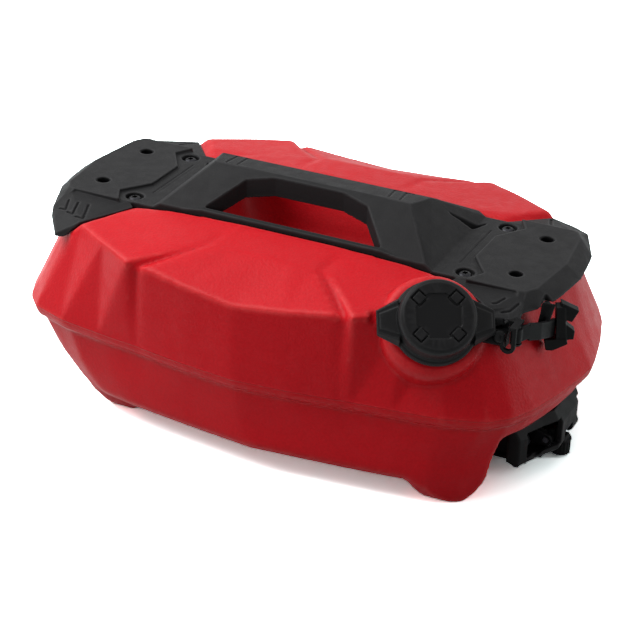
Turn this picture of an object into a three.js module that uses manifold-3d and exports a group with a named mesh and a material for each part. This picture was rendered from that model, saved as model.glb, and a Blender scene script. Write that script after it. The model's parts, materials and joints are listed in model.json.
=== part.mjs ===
// A low stackable gas can: a hollow blow-moulded tank, a moulded carry plate screwed to its
// top, a slanted filler neck with a screw cap on a tether, and a spring latch at each end.
// Millimetres. X runs along the can, -Y is the side with the filler cap, +Z is up, and the
// origin is on the ground under the middle of the can.
import * as THREE from "three";
import { mergeVertices } from "three/addons/utils/BufferGeometryUtils.js";
import { ConvexGeometry } from "three/addons/geometries/ConvexGeometry.js";
import Module from "manifold-3d";

const wasm = await Module();
wasm.setup();

// Driving sizes of the tank
const tankLength = 494;
const tankWidth = 316;
const deckHeight = 170;
const wall = 4;
const groundGap = 17;
const waistHeight = 86;
const ledgeHeight = 75;
const lipDepth = 6.5;
const ledgeStep = 0.8;
const bottomRound = 7;

// Clearances
const seatGap = 0.3;
const runGap = 0.3;
const overrun = 1;

const halfLength = tankLength / 2;
const halfWidth = tankWidth / 2;

const handleRise = 34;
const handleHeight = deckHeight + handleRise;
const latchReach = 247;
const latchShift = halfLength - latchReach;

// Each level of the tank is one ring. A ring is given by one quarter of it, from the middle
// of the long side to the middle of the end, as shares of half the length, of half the
// width and of the deck height.
const waistShares = [
  [0, 1], [0.18, 0.972], [0.34, 0.934], [0.368, 0.923], [0.397, 0.918], [0.534, 0.892],
  [0.696, 0.854], [0.826, 0.778], [0.887, 0.677], [0.927, 0.544], [0.964, 0.335],
  [0.99, 0.127], [1, 0],
];
const shoulderShares = [
  [0, 1, 0.888], [0.18, 0.975, 0.912], [0.34, 0.943, 0.941], [0.37, 0.922, 0.922],
  [0.4, 0.949, 0.959], [0.534, 0.829, 0.965], [0.668, 0.696, 0.971], [0.733, 0.671, 0.888],
  [0.769, 0.62, 0.876], [0.794, 0.532, 0.894], [0.81, 0.342, 0.924], [0.814, 0.127, 0.929],
  [0.814, 0, 0.929],
];
const padShares = [
  [0, 0.665, 1.012], [0.101, 0.665, 1.012], [0.182, 0.665, 1.009], [0.202, 0.658, 0.997],
  [0.227, 0.652, 1.003], [0.405, 0.557, 0.997], [0.591, 0.519, 0.991], [0.656, 0.532, 0.941],
  [0.696, 0.506, 0.929], [0.729, 0.43, 0.935], [0.753, 0.278, 0.947], [0.761, 0.101, 0.953],
  [0.761, 0, 0.953],
];
const rimShares = [
  [0, 0.389, 1.026], [0.081, 0.389, 1.026], [0.162, 0.389, 1.026], [0.202, 0.389, 1.024],
  [0.251, 0.389, 1.021], [0.405, 0.389, 1.012], [0.555, 0.405, 0.991], [0.607, 0.418, 0.959],
  [0.64, 0.392, 0.956], [0.668, 0.329, 0.956], [0.688, 0.215, 0.959], [0.696, 0.076, 0.959],
  [0.696, 0, 0.959],
];
const channelShares = [
  [0, 0.383], [0.08, 0.383], [0.158, 0.383], [0.198, 0.383], [0.247, 0.383], [0.397, 0.383],
  [0.543, 0.383], [0.591, 0.392], [0.623, 0.367], [0.648, 0.304], [0.664, 0.203], [0.672, 0.07],
  [0.672, 0],
];
const channelDepth = 6.5;
const flankShares = [
  [0, 0.937], [0.24, 0.899], [0.36, 0.877], [0.385, 0.871], [0.41, 0.867], [0.5, 0.848],
  [0.62, 0.81], [0.72, 0.734], [0.79, 0.633], [0.83, 0.506], [0.86, 0.316], [0.876, 0.114],
  [0.88, 0],
];
const bottomLean = 11;
const bottomShare = 0.969;
const bellyHeight = 44;
const bellyLean = 3;
const bellyShare = 1.03;

// Hand pocket under the handle
const pocketLengthShare = 0.3725;
const pocketWidthShare = 0.3291;
const pocketLength = tankLength * pocketLengthShare;
const pocketWidth = tankWidth * pocketWidthShare;
const pocketFloorHeight = 126;
const pocketDraft = 15;
const pocketFillet = 9;

// Feet
const rightFoot = fitted([0.6761, 0.6076]);
const leftFoot = fitted([-0.5263, 0.557]);
const rightFootLength = 68;
const leftFootLength = 58;
const footWidth = 72;
const footDraft = 10;
const footFillet = 7;
const footTaper = 5;

// Recess for a latch, at each lower end
const recessWall = 176;
const recessHeight = 60;
const recessHalfWidth = 98;
const recessFillet = 8;

// Filler neck: the middle of its shoulder, and its axis
const [neckX, neckY, neckZ] = fitted([0.6202, -0.7487, 0.9124]);
const neckAzimuth = THREE.MathUtils.degToRad(30);
const neckElevation = THREE.MathUtils.degToRad(43);
const neckRadius = 26;
const neckBore = 22;
const neckHeight = 20.6;
const bossRadius = 42;
const bossFrontRadius = 36;
const bossFillet = 9;
const bossFilletKnee = 2.7;
const bossInsideDrop = 6.3;
const bossDepth = 62;
const boreDepth = 37.2;

// Cap and its gasket, along the neck's axis from the shoulder
const capFlangeBottom = 3.6;
const capFlangeTop = 7.4;
const capFlangeRadius = 33.6;
const capRadius = 30;
const capTopRadius = 27.5;
const capCeiling = 23.2;
const capHeight = 26.6;
const capCoreWall = 1.6;
const capWingLow = 6.6;
const capWingHigh = 15;
const capWingReach = 45;
const capWingRoot = 19;
const capWingTip = 10;
const capWingTipHigh = 11.5;
const capWingTaper = 0.8;
const capRecessRadius = 20;
const capRecessDepth = 1.4;
const capTabReach = 25;
const capTabWidth = 7;
const capTabRise = 1.2;
const gasketThickness = 2.2;
const capSweep = 50;
const plateSweep = 53;

// Tether from the neck to its peg
const tetherThickness = 3;
const tetherRadius = 32.4;
const tetherReachShare = 0.2024;
const tetherReach = halfLength * tetherReachShare;
const tetherWidth = 12;
const tetherTurn = THREE.MathUtils.degToRad(-12.4);
const bracketSweep = tetherReach + tetherWidth / 2 + overrun;
const pegRadius = 2.6;
const pegHeadRadius = 4.8;
const pegHeadHeight = 2.4;
const pegHeadTop = 3.84;
const pegHeadEdge = 1.44;
const pegDepth = 7;

// Carry plate
const plateauRise = 2.6;
const plateauHeight = deckHeight + plateauRise;
const plateauOutline = [
  [0.8785, 0], [0.8543, 0.3418], [0.834, 0.3987], [0.8057, 0.4114], [0.6316, 0.4114],
  [0.668, 0.3038], [0.5992, 0.1392],
].map(fitted);
const landOutline = [
  [0.4615, 0.3797], [0.5425, 0.3797], [0.587, 0.3797], [0.8057, 0.3924], [0.834, 0.3924],
  [0.8543, 0.3418], [0.8785, 0],
].map(fitted);
const bevelTop = [[0.8785, 0], [0.8543, 0.3418], [0.834, 0.3987], [0.8057, 0.4114]].map(fitted);
const bevelLow = [
  [0.9352, 0, 0.9529], [0.9271, 0.1392, 0.9529], [0.9109, 0.2911, 0.95],
  [0.8806, 0.4114, 0.9471], [0.8421, 0.5127, 0.9441],
].map(fitted);
const bevelInnerShare = 0.7935;
const bevelInner = halfLength * bevelInnerShare;
const wingPoints = [
  [0.6073, 0.3734, 0.9976], [0.83, 0.3924, 1.0294], [0.8421, 0.5443, 0.9529],
  [0.7814, 0.5918, 0.95], [0.6923, 0.6519, 0.9529], [0.5749, 0.4051, 0.9824],
  [0.6073, 0.3734, 0.9647], [0.83, 0.3924, 0.9412], [0.834, 0.5823, 0.9176],
  [0.7611, 0.7215, 0.9], [0.7611, 0.7278, 0.8824], [0.7368, 0.7152, 0.8824],
].map(fitted);
const handlePoints = [
  [0.5101, -0.3797, 0.9618], [0.5101, -0.3797, 1], [0.4858, -0.3797, 1.1176],
  [0.3725, -0.1582, 1.8824], [0.3603, -0.1203, 2], [0.3887, 0.0506, 1.8971],
  [0.4858, 0.3797, 1.1176], [0.5101, 0.3797, 1], [0.5101, 0.3797, 0.9618],
].map(fitted);
const handleHollow = [
  [0.4777, -0.3291, 0.9412], [0.4534, -0.3291, 1.0294], [0.3482, -0.1139, 1.7941],
  [0.2591, -0.1139, 1.2941], [0.2591, -0.1139, 0.9412], [0.4777, 0.3291, 0.9412],
  [0.4534, 0.3291, 1.0294], [0.3644, 0.0316, 1.7059], [0.2591, 0.0506, 1.2941],
  [0.2591, 0.0506, 0.9412],
].map(fitted);
const underGrip = [
  [0.3239, -0.3481, 0.9559], [0.2834, -0.1266, 1.4706], [0.2834, 0.057, 1.4706],
  [0.3239, 0.3481, 0.9559],
].map(fitted);
const nearOpening = [[0.1255, -0.1392], [0.2227, -0.1772], [0.3239, -0.3481]].map(fitted);
const farOpening = [[0.1255, 0.0759], [0.2227, 0.1519], [0.3239, 0.3481]].map(fitted);
const rimBar = [
  [0, 0.3481, 0.9618], [0, 0.3797, 0.9618], [0, 0.3797, 1.2059], [0, 0.3481, 1.2059],
  [0.3239, 0.3797, 1.2059], [0.3239, 0.3481, 1.2059], [0.4777, 0.3797, 1.0441],
  [0.4777, 0.3481, 1.0441], [0.4858, 0.3797, 0.9618], [0.4858, 0.3481, 0.9618],
].map(fitted);
const anchorHoleDepth = 12;
const [screwX, screwY] = fitted([0.6073, 0.3076]);
const [anchorX, anchorY] = fitted([0.7611, 0.2342]);
const gripGrooves = [[0.2996, 0.0316], [0.3279, 0.0316]].map(fitted);
const grooveLean = 5;
const grooveReach = 19;
const grooveWidth = 2.4;
const grooveDepth = 1.2;

// Fasteners
const screwRadius = 3;
const screwHeadRadius = 5.6;
const screwHeadHeight = 3.4;
const screwLength = 22;
const screwEdge = 1;
const socketRadius = 2.1;
const socketDepth = 2;
const counterboreRadius = 7;
const counterboreDepth = 4;
const insertRadius = 5;
const insertLength = 14;
const insertBossWall = 5;
const pitRadius = 3.6;
const bushRadius = 6;
const bushBore = 4.2;
const bushFlange = 7.4;
const bushFlangeHeight = 1.2;

// Strap at the corner by the cap
const bracketLow = byNeck([0.7692, 12.3, 0.8118]);
const bracketHigh = byNeck([0.8806, 30.8, 0.8965]);
const strapPostRadius = 3;
const strapPostHead = 4.6;
const strapPostHeadHeight = 2;
const strapEyeRadius = 6.4;
const [strapPostX, strapPostY, strapPostLow] = byNeck([0.8583, 21.3, 0.8412]);
const strapLowShare = 0.8982;
const strapHighShare = 0.9853;
const strapLow = deckHeight * strapLowShare;
const strapHigh = deckHeight * strapHighShare;
const strapRoot = [
  [0.8583, 26.8], [0.8785, 31.8], [0.885, 35.3],
  [0.896, 33.6], [0.8891, 29.7], [0.8794, 23.3],
].map(byNeck);
const strapBand = [
  [0.8785, 31.8], [0.9004, 43.3], [0.9117, 56.3], [0.9117, 68.3],
  [0.9239, 68.3], [0.9239, 56.3], [0.9117, 42], [0.8891, 29.7],
].map(byNeck);
const strapStrip = [
  [0.9004, 43.3], [0.9117, 56.3], [0.9117, 59.9],
  [0.9239, 59.9], [0.9239, 56.3], [0.9117, 42],
].map(byNeck);
const strapSlope = 0.55;
const [, strapKneeY] = strapBand[0];
const stripLowShare = 0.8471;
const gripBlocks = [
  [[0.9053, 60.3, 0.7588], [0.9474, 71.3, 0.9382]],
  [[0.9109, 56.3, 0.7441], [0.9575, 68.3, 0.8059]],
  [[0.9231, 68.4, 0.8676], [0.9595, 86.3, 0.9441]],
  [[0.9231, 68.4, 0.7824], [0.9555, 79.3, 0.8382]],
].map((pair) => pair.map(byNeck));
const gripEdge = 1.2;
const gripSleeve = [[0.9105, 48.3, 0.8965], [0.9251, 68.6, 0.9871]].map(byNeck);
const catchLow = byNeck([0.8806, 58.3, 0.8647]);
const catchHigh = byNeck([0.9012, 69.3, 0.9824]);
const catchEdge = 1.5;

// End latch, drawn for the right end
const leverPinX = 222;
const leverPinZ = 24;
const leverPinRadius = 2.5;
const leverPinHalf = 25;
const leverFace = [[-67, 214], [-40, 226], [-25, 234], [25, 234], [40, 226], [67, 214]];
const leverBottom = 17;
const leverKnee = 42;
const leverTop = 54;
const leverTuck = 7;
const leverThickness = 5;
const leverEdge = 3;
const leverNotchHalf = 9.5;
const leverNotchTop = 27;
const leverWindow = [20, 58, 23, 45];
const leverEndWall = [[203, 20], [214, 17], [214, 42], [208, 52], [203, 50]];
const knuckleRadius = 5.6;
const knuckleSpan = [10, 18];
const latchBack = [[176, -62, 10], [182, 62, 51]];
const earSpan = [18.6, 24.6];
const earFoot = [[181, 12], [181, 44]];
const earRadius = 5.4;
const tongueLow = [181, -8, 14.8];
const tongueHigh = [233, 8, 18];
const tongueDisc = 9;
const tongueDiscTop = 16.3;
const hookPinX = 200;
const hookPinZ = 33;
const hookPinRadius = 2.5;
const hookSpan = [30, 40];
const hookRib = [[181, 12], [181, 49], [204, 42], [206, 26], [198, 14]];
const hookRibThickness = 4;
const hookRadius = 5.4;
const hookNose = [[213, 49], [217, 44], [210, 40]];
const hookTail = [[208, 20], [212, 23], [206, 28]];
const knobX = 228;
const knobRadius = 8.6;
const knobNotch = 0.8;
const knobRidges = 16;
const knobLow = 2.5;
const knobHigh = 14.5;
const knobStemRadius = 3;
const springRadius = 3.7;
const springWire = 0.8;
const springTurns = 5;
const springHalf = 6.5;
const springSteps = 9;
const wireSides = 5;
const baseScrewY = 52;
const baseScrewZ = 32;
const baseScrewRadius = 2.5;
const baseScrewHead = 4.6;
const baseScrewHeadHeight = 3;
const baseScrewLength = 17;
const baseBossRadius = 8;
const baseBossDepth = 19;
const baseRecessDepth = 1.5;

const red = new THREE.MeshStandardMaterial({ color: 0xc8161d, roughness: 0.42, metalness: 0 });
const black = new THREE.MeshStandardMaterial({ color: 0x242526, roughness: 0.55, metalness: 0 });
const rubber = new THREE.MeshStandardMaterial({ color: 0x161617, roughness: 0.75, metalness: 0 });
const steel = new THREE.MeshStandardMaterial({ color: 0x2b2c2e, roughness: 0.35, metalness: 0.9 });
const bright = new THREE.MeshStandardMaterial({ color: 0x9a9da1, roughness: 0.3, metalness: 1 });
const brass = new THREE.MeshStandardMaterial({ color: 0xb08d4a, roughness: 0.35, metalness: 1 });

// A point of the tables, given as shares of half the length, of half the width and of the
// deck's height. What a height has over one is a share of the handle's rise.
function fitted([x, y, z]) {
  if (z === undefined) return [x * halfLength, y * halfWidth];
  return [x * halfLength, y * halfWidth, heightOf(z)];
}

function heightOf(share) {
  return share > 1 ? deckHeight + (share - 1) * handleRise : share * deckHeight;
}

// A point whose place across the can is told from the neck
function byNeck([x, y, z]) {
  if (z === undefined) return [x * halfLength, neckY + y];
  return [x * halfLength, neckY + y, heightOf(z)];
}

// Solids from three.js geometry, and back
function solid(geometry, place = new THREE.Matrix4()) {
  const bare = geometry.clone();
  bare.deleteAttribute("normal");
  bare.deleteAttribute("uv");
  bare.applyMatrix4(place);
  const merged = mergeVertices(bare, 1e-4);
  return new wasm.Manifold(new wasm.Mesh({
    numProp: 3,
    vertProperties: new Float32Array(merged.attributes.position.array),
    triVerts: new Uint32Array(merged.index.array),
  }));
}

function geometryOf(body) {
  const mesh = body.getMesh();
  const geometry = new THREE.BufferGeometry();
  geometry.setAttribute("position", new THREE.BufferAttribute(mesh.vertProperties, 3));
  geometry.setIndex(new THREE.BufferAttribute(mesh.triVerts, 1));
  const flat = geometry.toNonIndexed();
  flat.computeVertexNormals();
  return flat;
}

function union(...bodies) {
  return bodies.reduce((sum, body) => sum.add(body));
}

function hull(points) {
  return solid(new ConvexGeometry(points.map((p) => new THREE.Vector3(...p))));
}

// A block between two corners
function block(low, high) {
  const size = high.map((value, i) => value - low[i]);
  const middle = high.map((value, i) => (value + low[i]) / 2);
  return solid(new THREE.BoxGeometry(...size), new THREE.Matrix4().makeTranslation(...middle));
}

// A body turned from a profile of [radius, height] points, about an axis through a place
function turned(profile, place, sides = 20) {
  const points = profile.map(([r, h]) => new THREE.Vector2(r, h));
  return solid(new THREE.LatheGeometry(points, sides), place);
}

function rod(radius, low, high, place, sides = 20) {
  return turned([[0, low], [radius, low], [radius, high], [0, high]], place, sides);
}

// A flat outline raised along Z between two heights
function slab(outline, low, high, place) {
  const shape = new THREE.Shape(outline.map(([x, y]) => new THREE.Vector2(x, y)));
  const geometry = new THREE.ExtrudeGeometry(shape, { depth: high - low, bevelEnabled: false });
  geometry.translate(0, 0, low);
  return solid(geometry, place);
}

// Places: turned profiles stand along +Y of their own frame
const upright = new THREE.Matrix4().makeRotationX(Math.PI / 2);
function standing(x, y, z) {
  return new THREE.Matrix4().makeTranslation(x, y, z).multiply(upright);
}
function lying(x, z) {
  return new THREE.Matrix4().makeTranslation(x, 0, z);
}
function alongX(y, z, side) {
  const turn = new THREE.Matrix4().makeRotationZ((-side * Math.PI) / 2);
  return new THREE.Matrix4().makeTranslation(0, y, z).multiply(turn);
}

function placedHull(points, place) {
  return hull(points.map((p) => new THREE.Vector3(...p).applyMatrix4(place).toArray()));
}

function corners(low, high) {
  return [low[0], high[0]].flatMap((x) => [low[1], high[1]].flatMap((y) => (
    [low[2], high[2]].map((z) => [x, y, z]))));
}

function placedBlock(low, high, place) {
  return placedHull(corners(low, high), place);
}

function grownBlock(low, high) {
  return block(low.map((v) => v - seatGap), high.map((v) => v + seatGap));
}

// A block with all its edges cut off
function chamferedBlock(low, high, edge) {
  const points = [0, 1, 2].flatMap((axis) => corners(
    low.map((v, i) => (i === axis ? v : v + edge)),
    high.map((v, i) => (i === axis ? v : v - edge)),
  ));
  return hull(points);
}

// The whole outline of an end from its half, for the right end or the left
function bothSides(outline, side) {
  const mirrored = outline.filter(([, y]) => y !== 0).reverse().map(([x, y]) => [x, -y]);
  return [...outline, ...mirrored].map(([x, y]) => [side * x, y]);
}

// A convex profile in X and Z, drawn out along Y
function crosswise(profile, low, high) {
  return hull([low, high].flatMap((y) => profile.map(([x, z]) => [x, y, z])));
}

function circle(x, z, radius, sides = 12) {
  return Array.from({ length: sides }, (_, i) => {
    const angle = (2 * Math.PI * i) / sides;
    return [x + radius * Math.cos(angle), z + radius * Math.sin(angle)];
  });
}

// A body between rings of equal count, closed by a fan at its bottom and its top
function loft(rings) {
  const count = rings[0].length;
  const positions = rings.flat().flatMap((p) => [p.x, p.y, p.z]);
  const index = [];
  for (let r = 0; r + 1 < rings.length; r += 1) {
    for (let i = 0; i < count; i += 1) {
      const j = (i + 1) % count;
      const a = r * count + i;
      const b = r * count + j;
      index.push(a, b, b + count, a, b + count, a + count);
    }
  }
  [rings[0], rings[rings.length - 1]].forEach((ring, end) => {
    const middle = ring.reduce((sum, p) => sum.add(p), new THREE.Vector3()).divideScalar(count);
    const centre = positions.length / 3;
    const first = end * (rings.length - 1) * count;
    positions.push(middle.x, middle.y, middle.z);
    for (let i = 0; i < count; i += 1) {
      const here = first + i;
      const next = first + ((i + 1) % count);
      index.push(...(end ? [here, next, centre] : [next, here, centre]));
    }
  });
  const geometry = new THREE.BufferGeometry();
  geometry.setAttribute("position", new THREE.Float32BufferAttribute(positions, 3));
  geometry.setIndex(index);
  return solid(geometry);
}

// The whole ring from one quarter of it
function ringOf(quarter) {
  const back = quarter.slice(1, -1).reverse();
  const near = quarter.map(([x, y, z]) => [x, -y, z]);
  const farRight = back.map(([x, y, z]) => [x, y, z]);
  const far = [[quarter[0][0], quarter[0][1], quarter[0][2]]];
  const farLeft = quarter.slice(1).map(([x, y, z]) => [-x, y, z]);
  const nearLeft = back.map(([x, y, z]) => [-x, -y, z]);
  return [...near, ...farRight, ...far, ...farLeft, ...nearLeft]
    .map(([x, y, z]) => new THREE.Vector3(x, y, z));
}

// One level of the tank, drawn in by a length on every side. The sizes of a level come
// from its shares; a level without a height of its own lies at the height given.
function level(shares, inset, height, lean = 0, lengthShare = 1) {
  const along = halfLength - inset;
  const across = halfWidth - inset;
  return ringOf(shares.map(([x, y, z]) => [
    x * along * lengthShare,
    y * across,
    height === undefined ? z * deckHeight - inset : height,
  ])).map((p) => p.setX(p.x + lean));
}

// The lowest levels lie a little nearer the right end
function flank(inset, height) {
  return level(flankShares, inset, height, bottomLean, bottomShare);
}

// The tank's skin, drawn in by an inset, or let out by a negative one
function tankSkin(inset) {
  const lipArc = [1, 0.6, 0.25];
  const lip = lipArc.map((turn) => level(
    waistShares,
    inset + lipDepth * (1 - Math.cos((Math.PI / 2) * turn)),
    waistHeight - (waistHeight - ledgeHeight) * Math.sin((Math.PI / 2) * turn),
  ));
  const under = lipDepth + ledgeStep;
  return loft([
    flank(inset + bottomRound, groundGap + inset),
    flank(inset, groundGap + bottomRound),
    level(flankShares, inset, bellyHeight, bellyLean, bellyShare),
    level(waistShares, inset + under, ledgeHeight - ledgeStep),
    ...lip,
    level(waistShares, inset, waistHeight),
    level(shoulderShares, inset),
    level(padShares, inset),
    level(rimShares, inset),
    level(channelShares, inset, deckHeight - channelDepth - inset),
  ]);
}

// A rounded tub, wider at its mouth
function roundedRect(halfX, halfY, radius, height) {
  const points = [];
  const steps = 4;
  const corners = [[1, -1, -90], [1, 1, 0], [-1, 1, 90], [-1, -1, 180]];
  corners.forEach(([sx, sy, start]) => {
    for (let i = 0; i <= steps; i += 1) {
      const angle = THREE.MathUtils.degToRad(start + (90 * i) / steps);
      points.push(new THREE.Vector3(
        sx * (halfX - radius) + radius * Math.cos(angle),
        sy * (halfY - radius) + radius * Math.sin(angle),
        height,
      ));
    }
  });
  return points;
}

function pocket(grow) {
  const halfX = pocketLength / 2 + grow;
  const halfY = pocketWidth / 2 + grow;
  const lowX = halfX - pocketDraft;
  const lowY = halfY - pocketDraft;
  const floor = pocketFloorHeight - grow;
  const mouth = deckHeight - channelDepth + overrun;
  const corner = pocketDraft + pocketFillet + grow;
  return loft([
    roundedRect(lowX - pocketFillet, lowY - pocketFillet, corner - pocketFillet, floor),
    roundedRect(lowX, lowY, corner, floor + pocketFillet),
    roundedRect(halfX, halfY, corner, mouth),
  ]);
}

function footPlan(inset) {
  return loft([
    flank(inset + footTaper, -overrun),
    flank(inset, groundGap + bottomRound + overrun),
  ]);
}

function foot(sx, sy, inset) {
  const [footX, footY] = sx > 0 ? rightFoot : leftFoot;
  const footLength = sx > 0 ? rightFootLength : leftFootLength;
  const top = groundGap + bottomRound;
  const halfX = footLength / 2 - inset;
  const halfY = footWidth / 2 - inset;
  const lowX = halfX - footDraft;
  const lowY = halfY - footDraft;
  const corner = footDraft;
  return loft([
    roundedRect(lowX - footFillet, lowY - footFillet, corner - footFillet, inset),
    roundedRect(lowX, lowY, corner, inset + footFillet),
    roundedRect(halfX, halfY, corner, top),
  ].map((ring) => ring.map((p) => p.add(new THREE.Vector3(footX, sy * footY, 0)))))
    .intersect(footPlan(inset));
}

function recess(side, grow) {
  const inner = recessWall + latchShift - grow;
  const top = recessHeight + grow;
  const outer = halfLength + overrun;
  const low = -overrun;
  const halfY = recessHalfWidth + grow;
  const profile = [
    [inner, low], [inner, top - recessFillet], [inner + recessFillet, top], [outer, top],
    [outer, low],
  ];
  return hull([-halfY, halfY].flatMap((y) => profile.map(([x, z]) => [side * x, y, z])));
}

// The neck's own frame: its Y is the neck's axis, its X runs level to the right
const neckAxis = new THREE.Vector3(
  Math.sin(neckAzimuth) * Math.cos(neckElevation),
  -Math.cos(neckAzimuth) * Math.cos(neckElevation),
  Math.sin(neckElevation),
);
const neckRight = new THREE.Vector3(Math.cos(neckAzimuth), Math.sin(neckAzimuth), 0);
const neckPlace = new THREE.Matrix4()
  .makeBasis(neckRight, neckAxis, new THREE.Vector3().crossVectors(neckRight, neckAxis))
  .setPosition(neckX, neckY, neckZ);
const tetherPlace = neckPlace.clone()
  .multiply(new THREE.Matrix4().makeRotationY(tetherTurn));
const pegPlace = tetherPlace.clone()
  .multiply(new THREE.Matrix4().makeTranslation(tetherReach, 0, 0));
const postPlace = standing(strapPostX, strapPostY, 0);
// The strap's band hangs lower the further it is from its knee
const strapDroop = new THREE.Matrix4().set(
  1, 0, 0, 0, 0, 1, 0, 0, 0, -strapSlope, 1, strapSlope * strapKneeY, 0, 0, 0, 1,
);

const neckSides = 36;
const quadrants = [[-1, -1], [1, -1], [-1, 1], [1, 1]];
const ends = [-1, 1];
const deckFloor = deckHeight - channelDepth;
const insertTop = deckFloor - seatGap;
const insertBottom = insertTop - insertLength;
const screwSeat = deckHeight - counterboreDepth;
const screwPit = screwSeat - screwLength - overrun;
const baseSeat = latchBack[1][0] - baseRecessDepth;
const leverPinPlace = lying(leverPinX, leverPinZ);
const hookPinPlace = lying(hookPinX, hookPinZ);
const hookMiddle = (hookSpan[0] + hookSpan[1]) / 2;
const hookPinHalf = hookMiddle - hookSpan[0] + runGap * 2 + hookRibThickness;
const reliefHeight = 70;

function bothEnds(points) {
  return points.flatMap(([x, y, z]) => [[x, y, z], [-x, y, z]]);
}

function everyScrew(make) {
  return quadrants.map(([sx, sy]) => make(standing(sx * screwX, sy * screwY, 0)));
}

function everyAnchor(make) {
  return quadrants.map(([sx, sy]) => make(standing(sx * anchorX, sy * anchorY, 0)));
}

function baseScrewPlaces(side) {
  return ends.map((s) => alongX(s * baseScrewY, baseScrewZ, side));
}

function makeTank() {
  const capRelief = rod(capSweep, 0, reliefHeight, neckPlace, neckSides);
  const insideRelief = rod(capSweep + wall, -wall, reliefHeight, neckPlace, neckSides);
  const boss = turned([
    [0, -bossDepth], [bossRadius, -bossDepth], [bossRadius, -bossFillet],
    [(bossRadius * 2 + bossFrontRadius) / 3, -bossFilletKnee], [bossFrontRadius, 0], [0, 0],
  ], neckPlace, neckSides);
  const neck = rod(neckRadius, -wall, neckHeight, neckPlace, neckSides);
  const bossInside = rod(
    bossRadius - wall, wall - bossDepth, -wall - bossInsideDrop, neckPlace, neckSides,
  );
  const bore = rod(neckBore, -boreDepth, neckHeight + overrun, neckPlace, neckSides);
  const feet = quadrants.map(([sx, sy]) => foot(sx, sy, 0));
  const pockets = union(pocket(0), recess(1, 0), recess(-1, 0));
  const screwBosses = everyScrew((place) => rod(
    insertRadius + insertBossWall, screwPit - wall, deckFloor, place,
  ));
  const screwPits = everyScrew((place) => turned([
    [0, screwPit], [pitRadius, screwPit], [pitRadius, insertBottom],
    [insertRadius + runGap, insertBottom], [insertRadius + runGap, deckFloor + overrun],
    [0, deckFloor + overrun],
  ], place));
  const tankWall = recessWall + latchShift;
  const latchBosses = ends.flatMap((side) => baseScrewPlaces(side).map((place) => rod(
    baseBossRadius, tankWall - baseBossDepth, tankWall, place,
  )));
  const latchPits = ends.flatMap((side) => baseScrewPlaces(side).map((place) => rod(
    baseScrewRadius + runGap, tankWall - baseBossDepth + wall, tankWall + overrun, place,
  )));
  const hollowFeet = quadrants.map(([sx, sy]) => foot(sx, sy, wall));
  const fuelSpace = union(tankSkin(wall).subtract(insideRelief), bossInside, bore, ...hollowFeet)
    .subtract(union(pocket(wall), recess(1, wall), recess(-1, wall)))
    .subtract(union(...screwBosses, ...latchBosses));
  return union(tankSkin(0).subtract(capRelief), boss, neck, ...feet)
    .subtract(pockets)
    .subtract(fuelSpace)
    .subtract(union(...screwPits, ...latchPits))
    .subtract(rod(pegRadius + runGap, -pegDepth - runGap, overrun, pegPlace));
}

function makePlate() {
  const lands = ends.flatMap((side) => slab(
    bothSides(landOutline, side), deckFloor, deckHeight,
  ));
  const plateaus = ends.map((side) => slab(
    bothSides(plateauOutline, side), deckFloor + overrun, plateauHeight,
  ));
  const bevels = ends.map((side) => hull([
    ...bothSides(bevelTop, side).map(([x, y]) => [x, y, plateauHeight]),
    ...bevelLow.flatMap(([x, y, z]) => [[side * x, y, z], [side * x, -y, z]]),
    ...bothSides(bevelTop, side).map(([x, y]) => [Math.sign(x) * bevelInner, y, deckFloor]),
  ]));
  const wings = quadrants.map(([sx, sy]) => hull(wingPoints.map(([x, y, z]) => [
    sx * x, sy * y, z,
  ])));
  const rimBars = ends.map((s) => hull(rimBar.flatMap(([x, y, z]) => [
    [x, s * y, z], [-x, s * y, z],
  ])));
  const hollows = ends.map((side) => hull(handleHollow.map(([x, y, z]) => [side * x, y, z])));
  const openings = [nearOpening, farOpening].map((outline) => slab(
    [...outline, ...outline.map(([x, y]) => [-x, y]).reverse()],
    deckFloor - overrun,
    handleHeight + overrun,
  ));
  const grooves = ends.flatMap((side) => gripGrooves.map(([x, y]) => slab([
    [side * x, -y], [side * (x + grooveWidth), -y],
    [side * (x + grooveWidth - grooveLean), -grooveReach],
    [side * (x - grooveLean), -grooveReach],
  ], handleHeight - grooveDepth, handleHeight + overrun)));
  const screwHoles = everyScrew((place) => turned([
    [0, deckFloor - overrun], [screwRadius + runGap, deckFloor - overrun],
    [screwRadius + runGap, screwSeat], [counterboreRadius, screwSeat],
    [counterboreRadius, plateauHeight + overrun], [0, plateauHeight + overrun],
  ], place));
  const flangeSeat = plateauHeight - bushFlangeHeight;
  const anchorLow = deckHeight - anchorHoleDepth;
  const anchorHoles = everyAnchor((place) => turned([
    [0, anchorLow], [bushRadius + runGap, anchorLow], [bushRadius + runGap, flangeSeat],
    [bushFlange + runGap, flangeSeat], [bushFlange + runGap, plateauHeight + overrun],
    [0, plateauHeight + overrun],
  ], place));
  const handle = hull(bothEnds(handlePoints)).subtract(union(...hollows, hull(bothEnds(underGrip))));
  return union(handle, ...lands, ...plateaus, ...bevels, ...wings, ...rimBars)
    .subtract(union(...openings, ...grooves, ...screwHoles, ...anchorHoles))
    .subtract(tankSkin(-seatGap).subtract(pocket(0)))
    .subtract(rod(plateSweep, capFlangeBottom, reliefHeight, neckPlace, neckSides))
    .subtract(rod(bracketSweep, 0, capFlangeBottom + overrun, neckPlace, neckSides))
    .subtract(rod(bossRadius + seatGap, -bossDepth, 0, neckPlace, neckSides))
    .subtract(grownBlock(bracketLow, bracketHigh))
    .subtract(grownBlock(catchLow, catchHigh));
}

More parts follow.
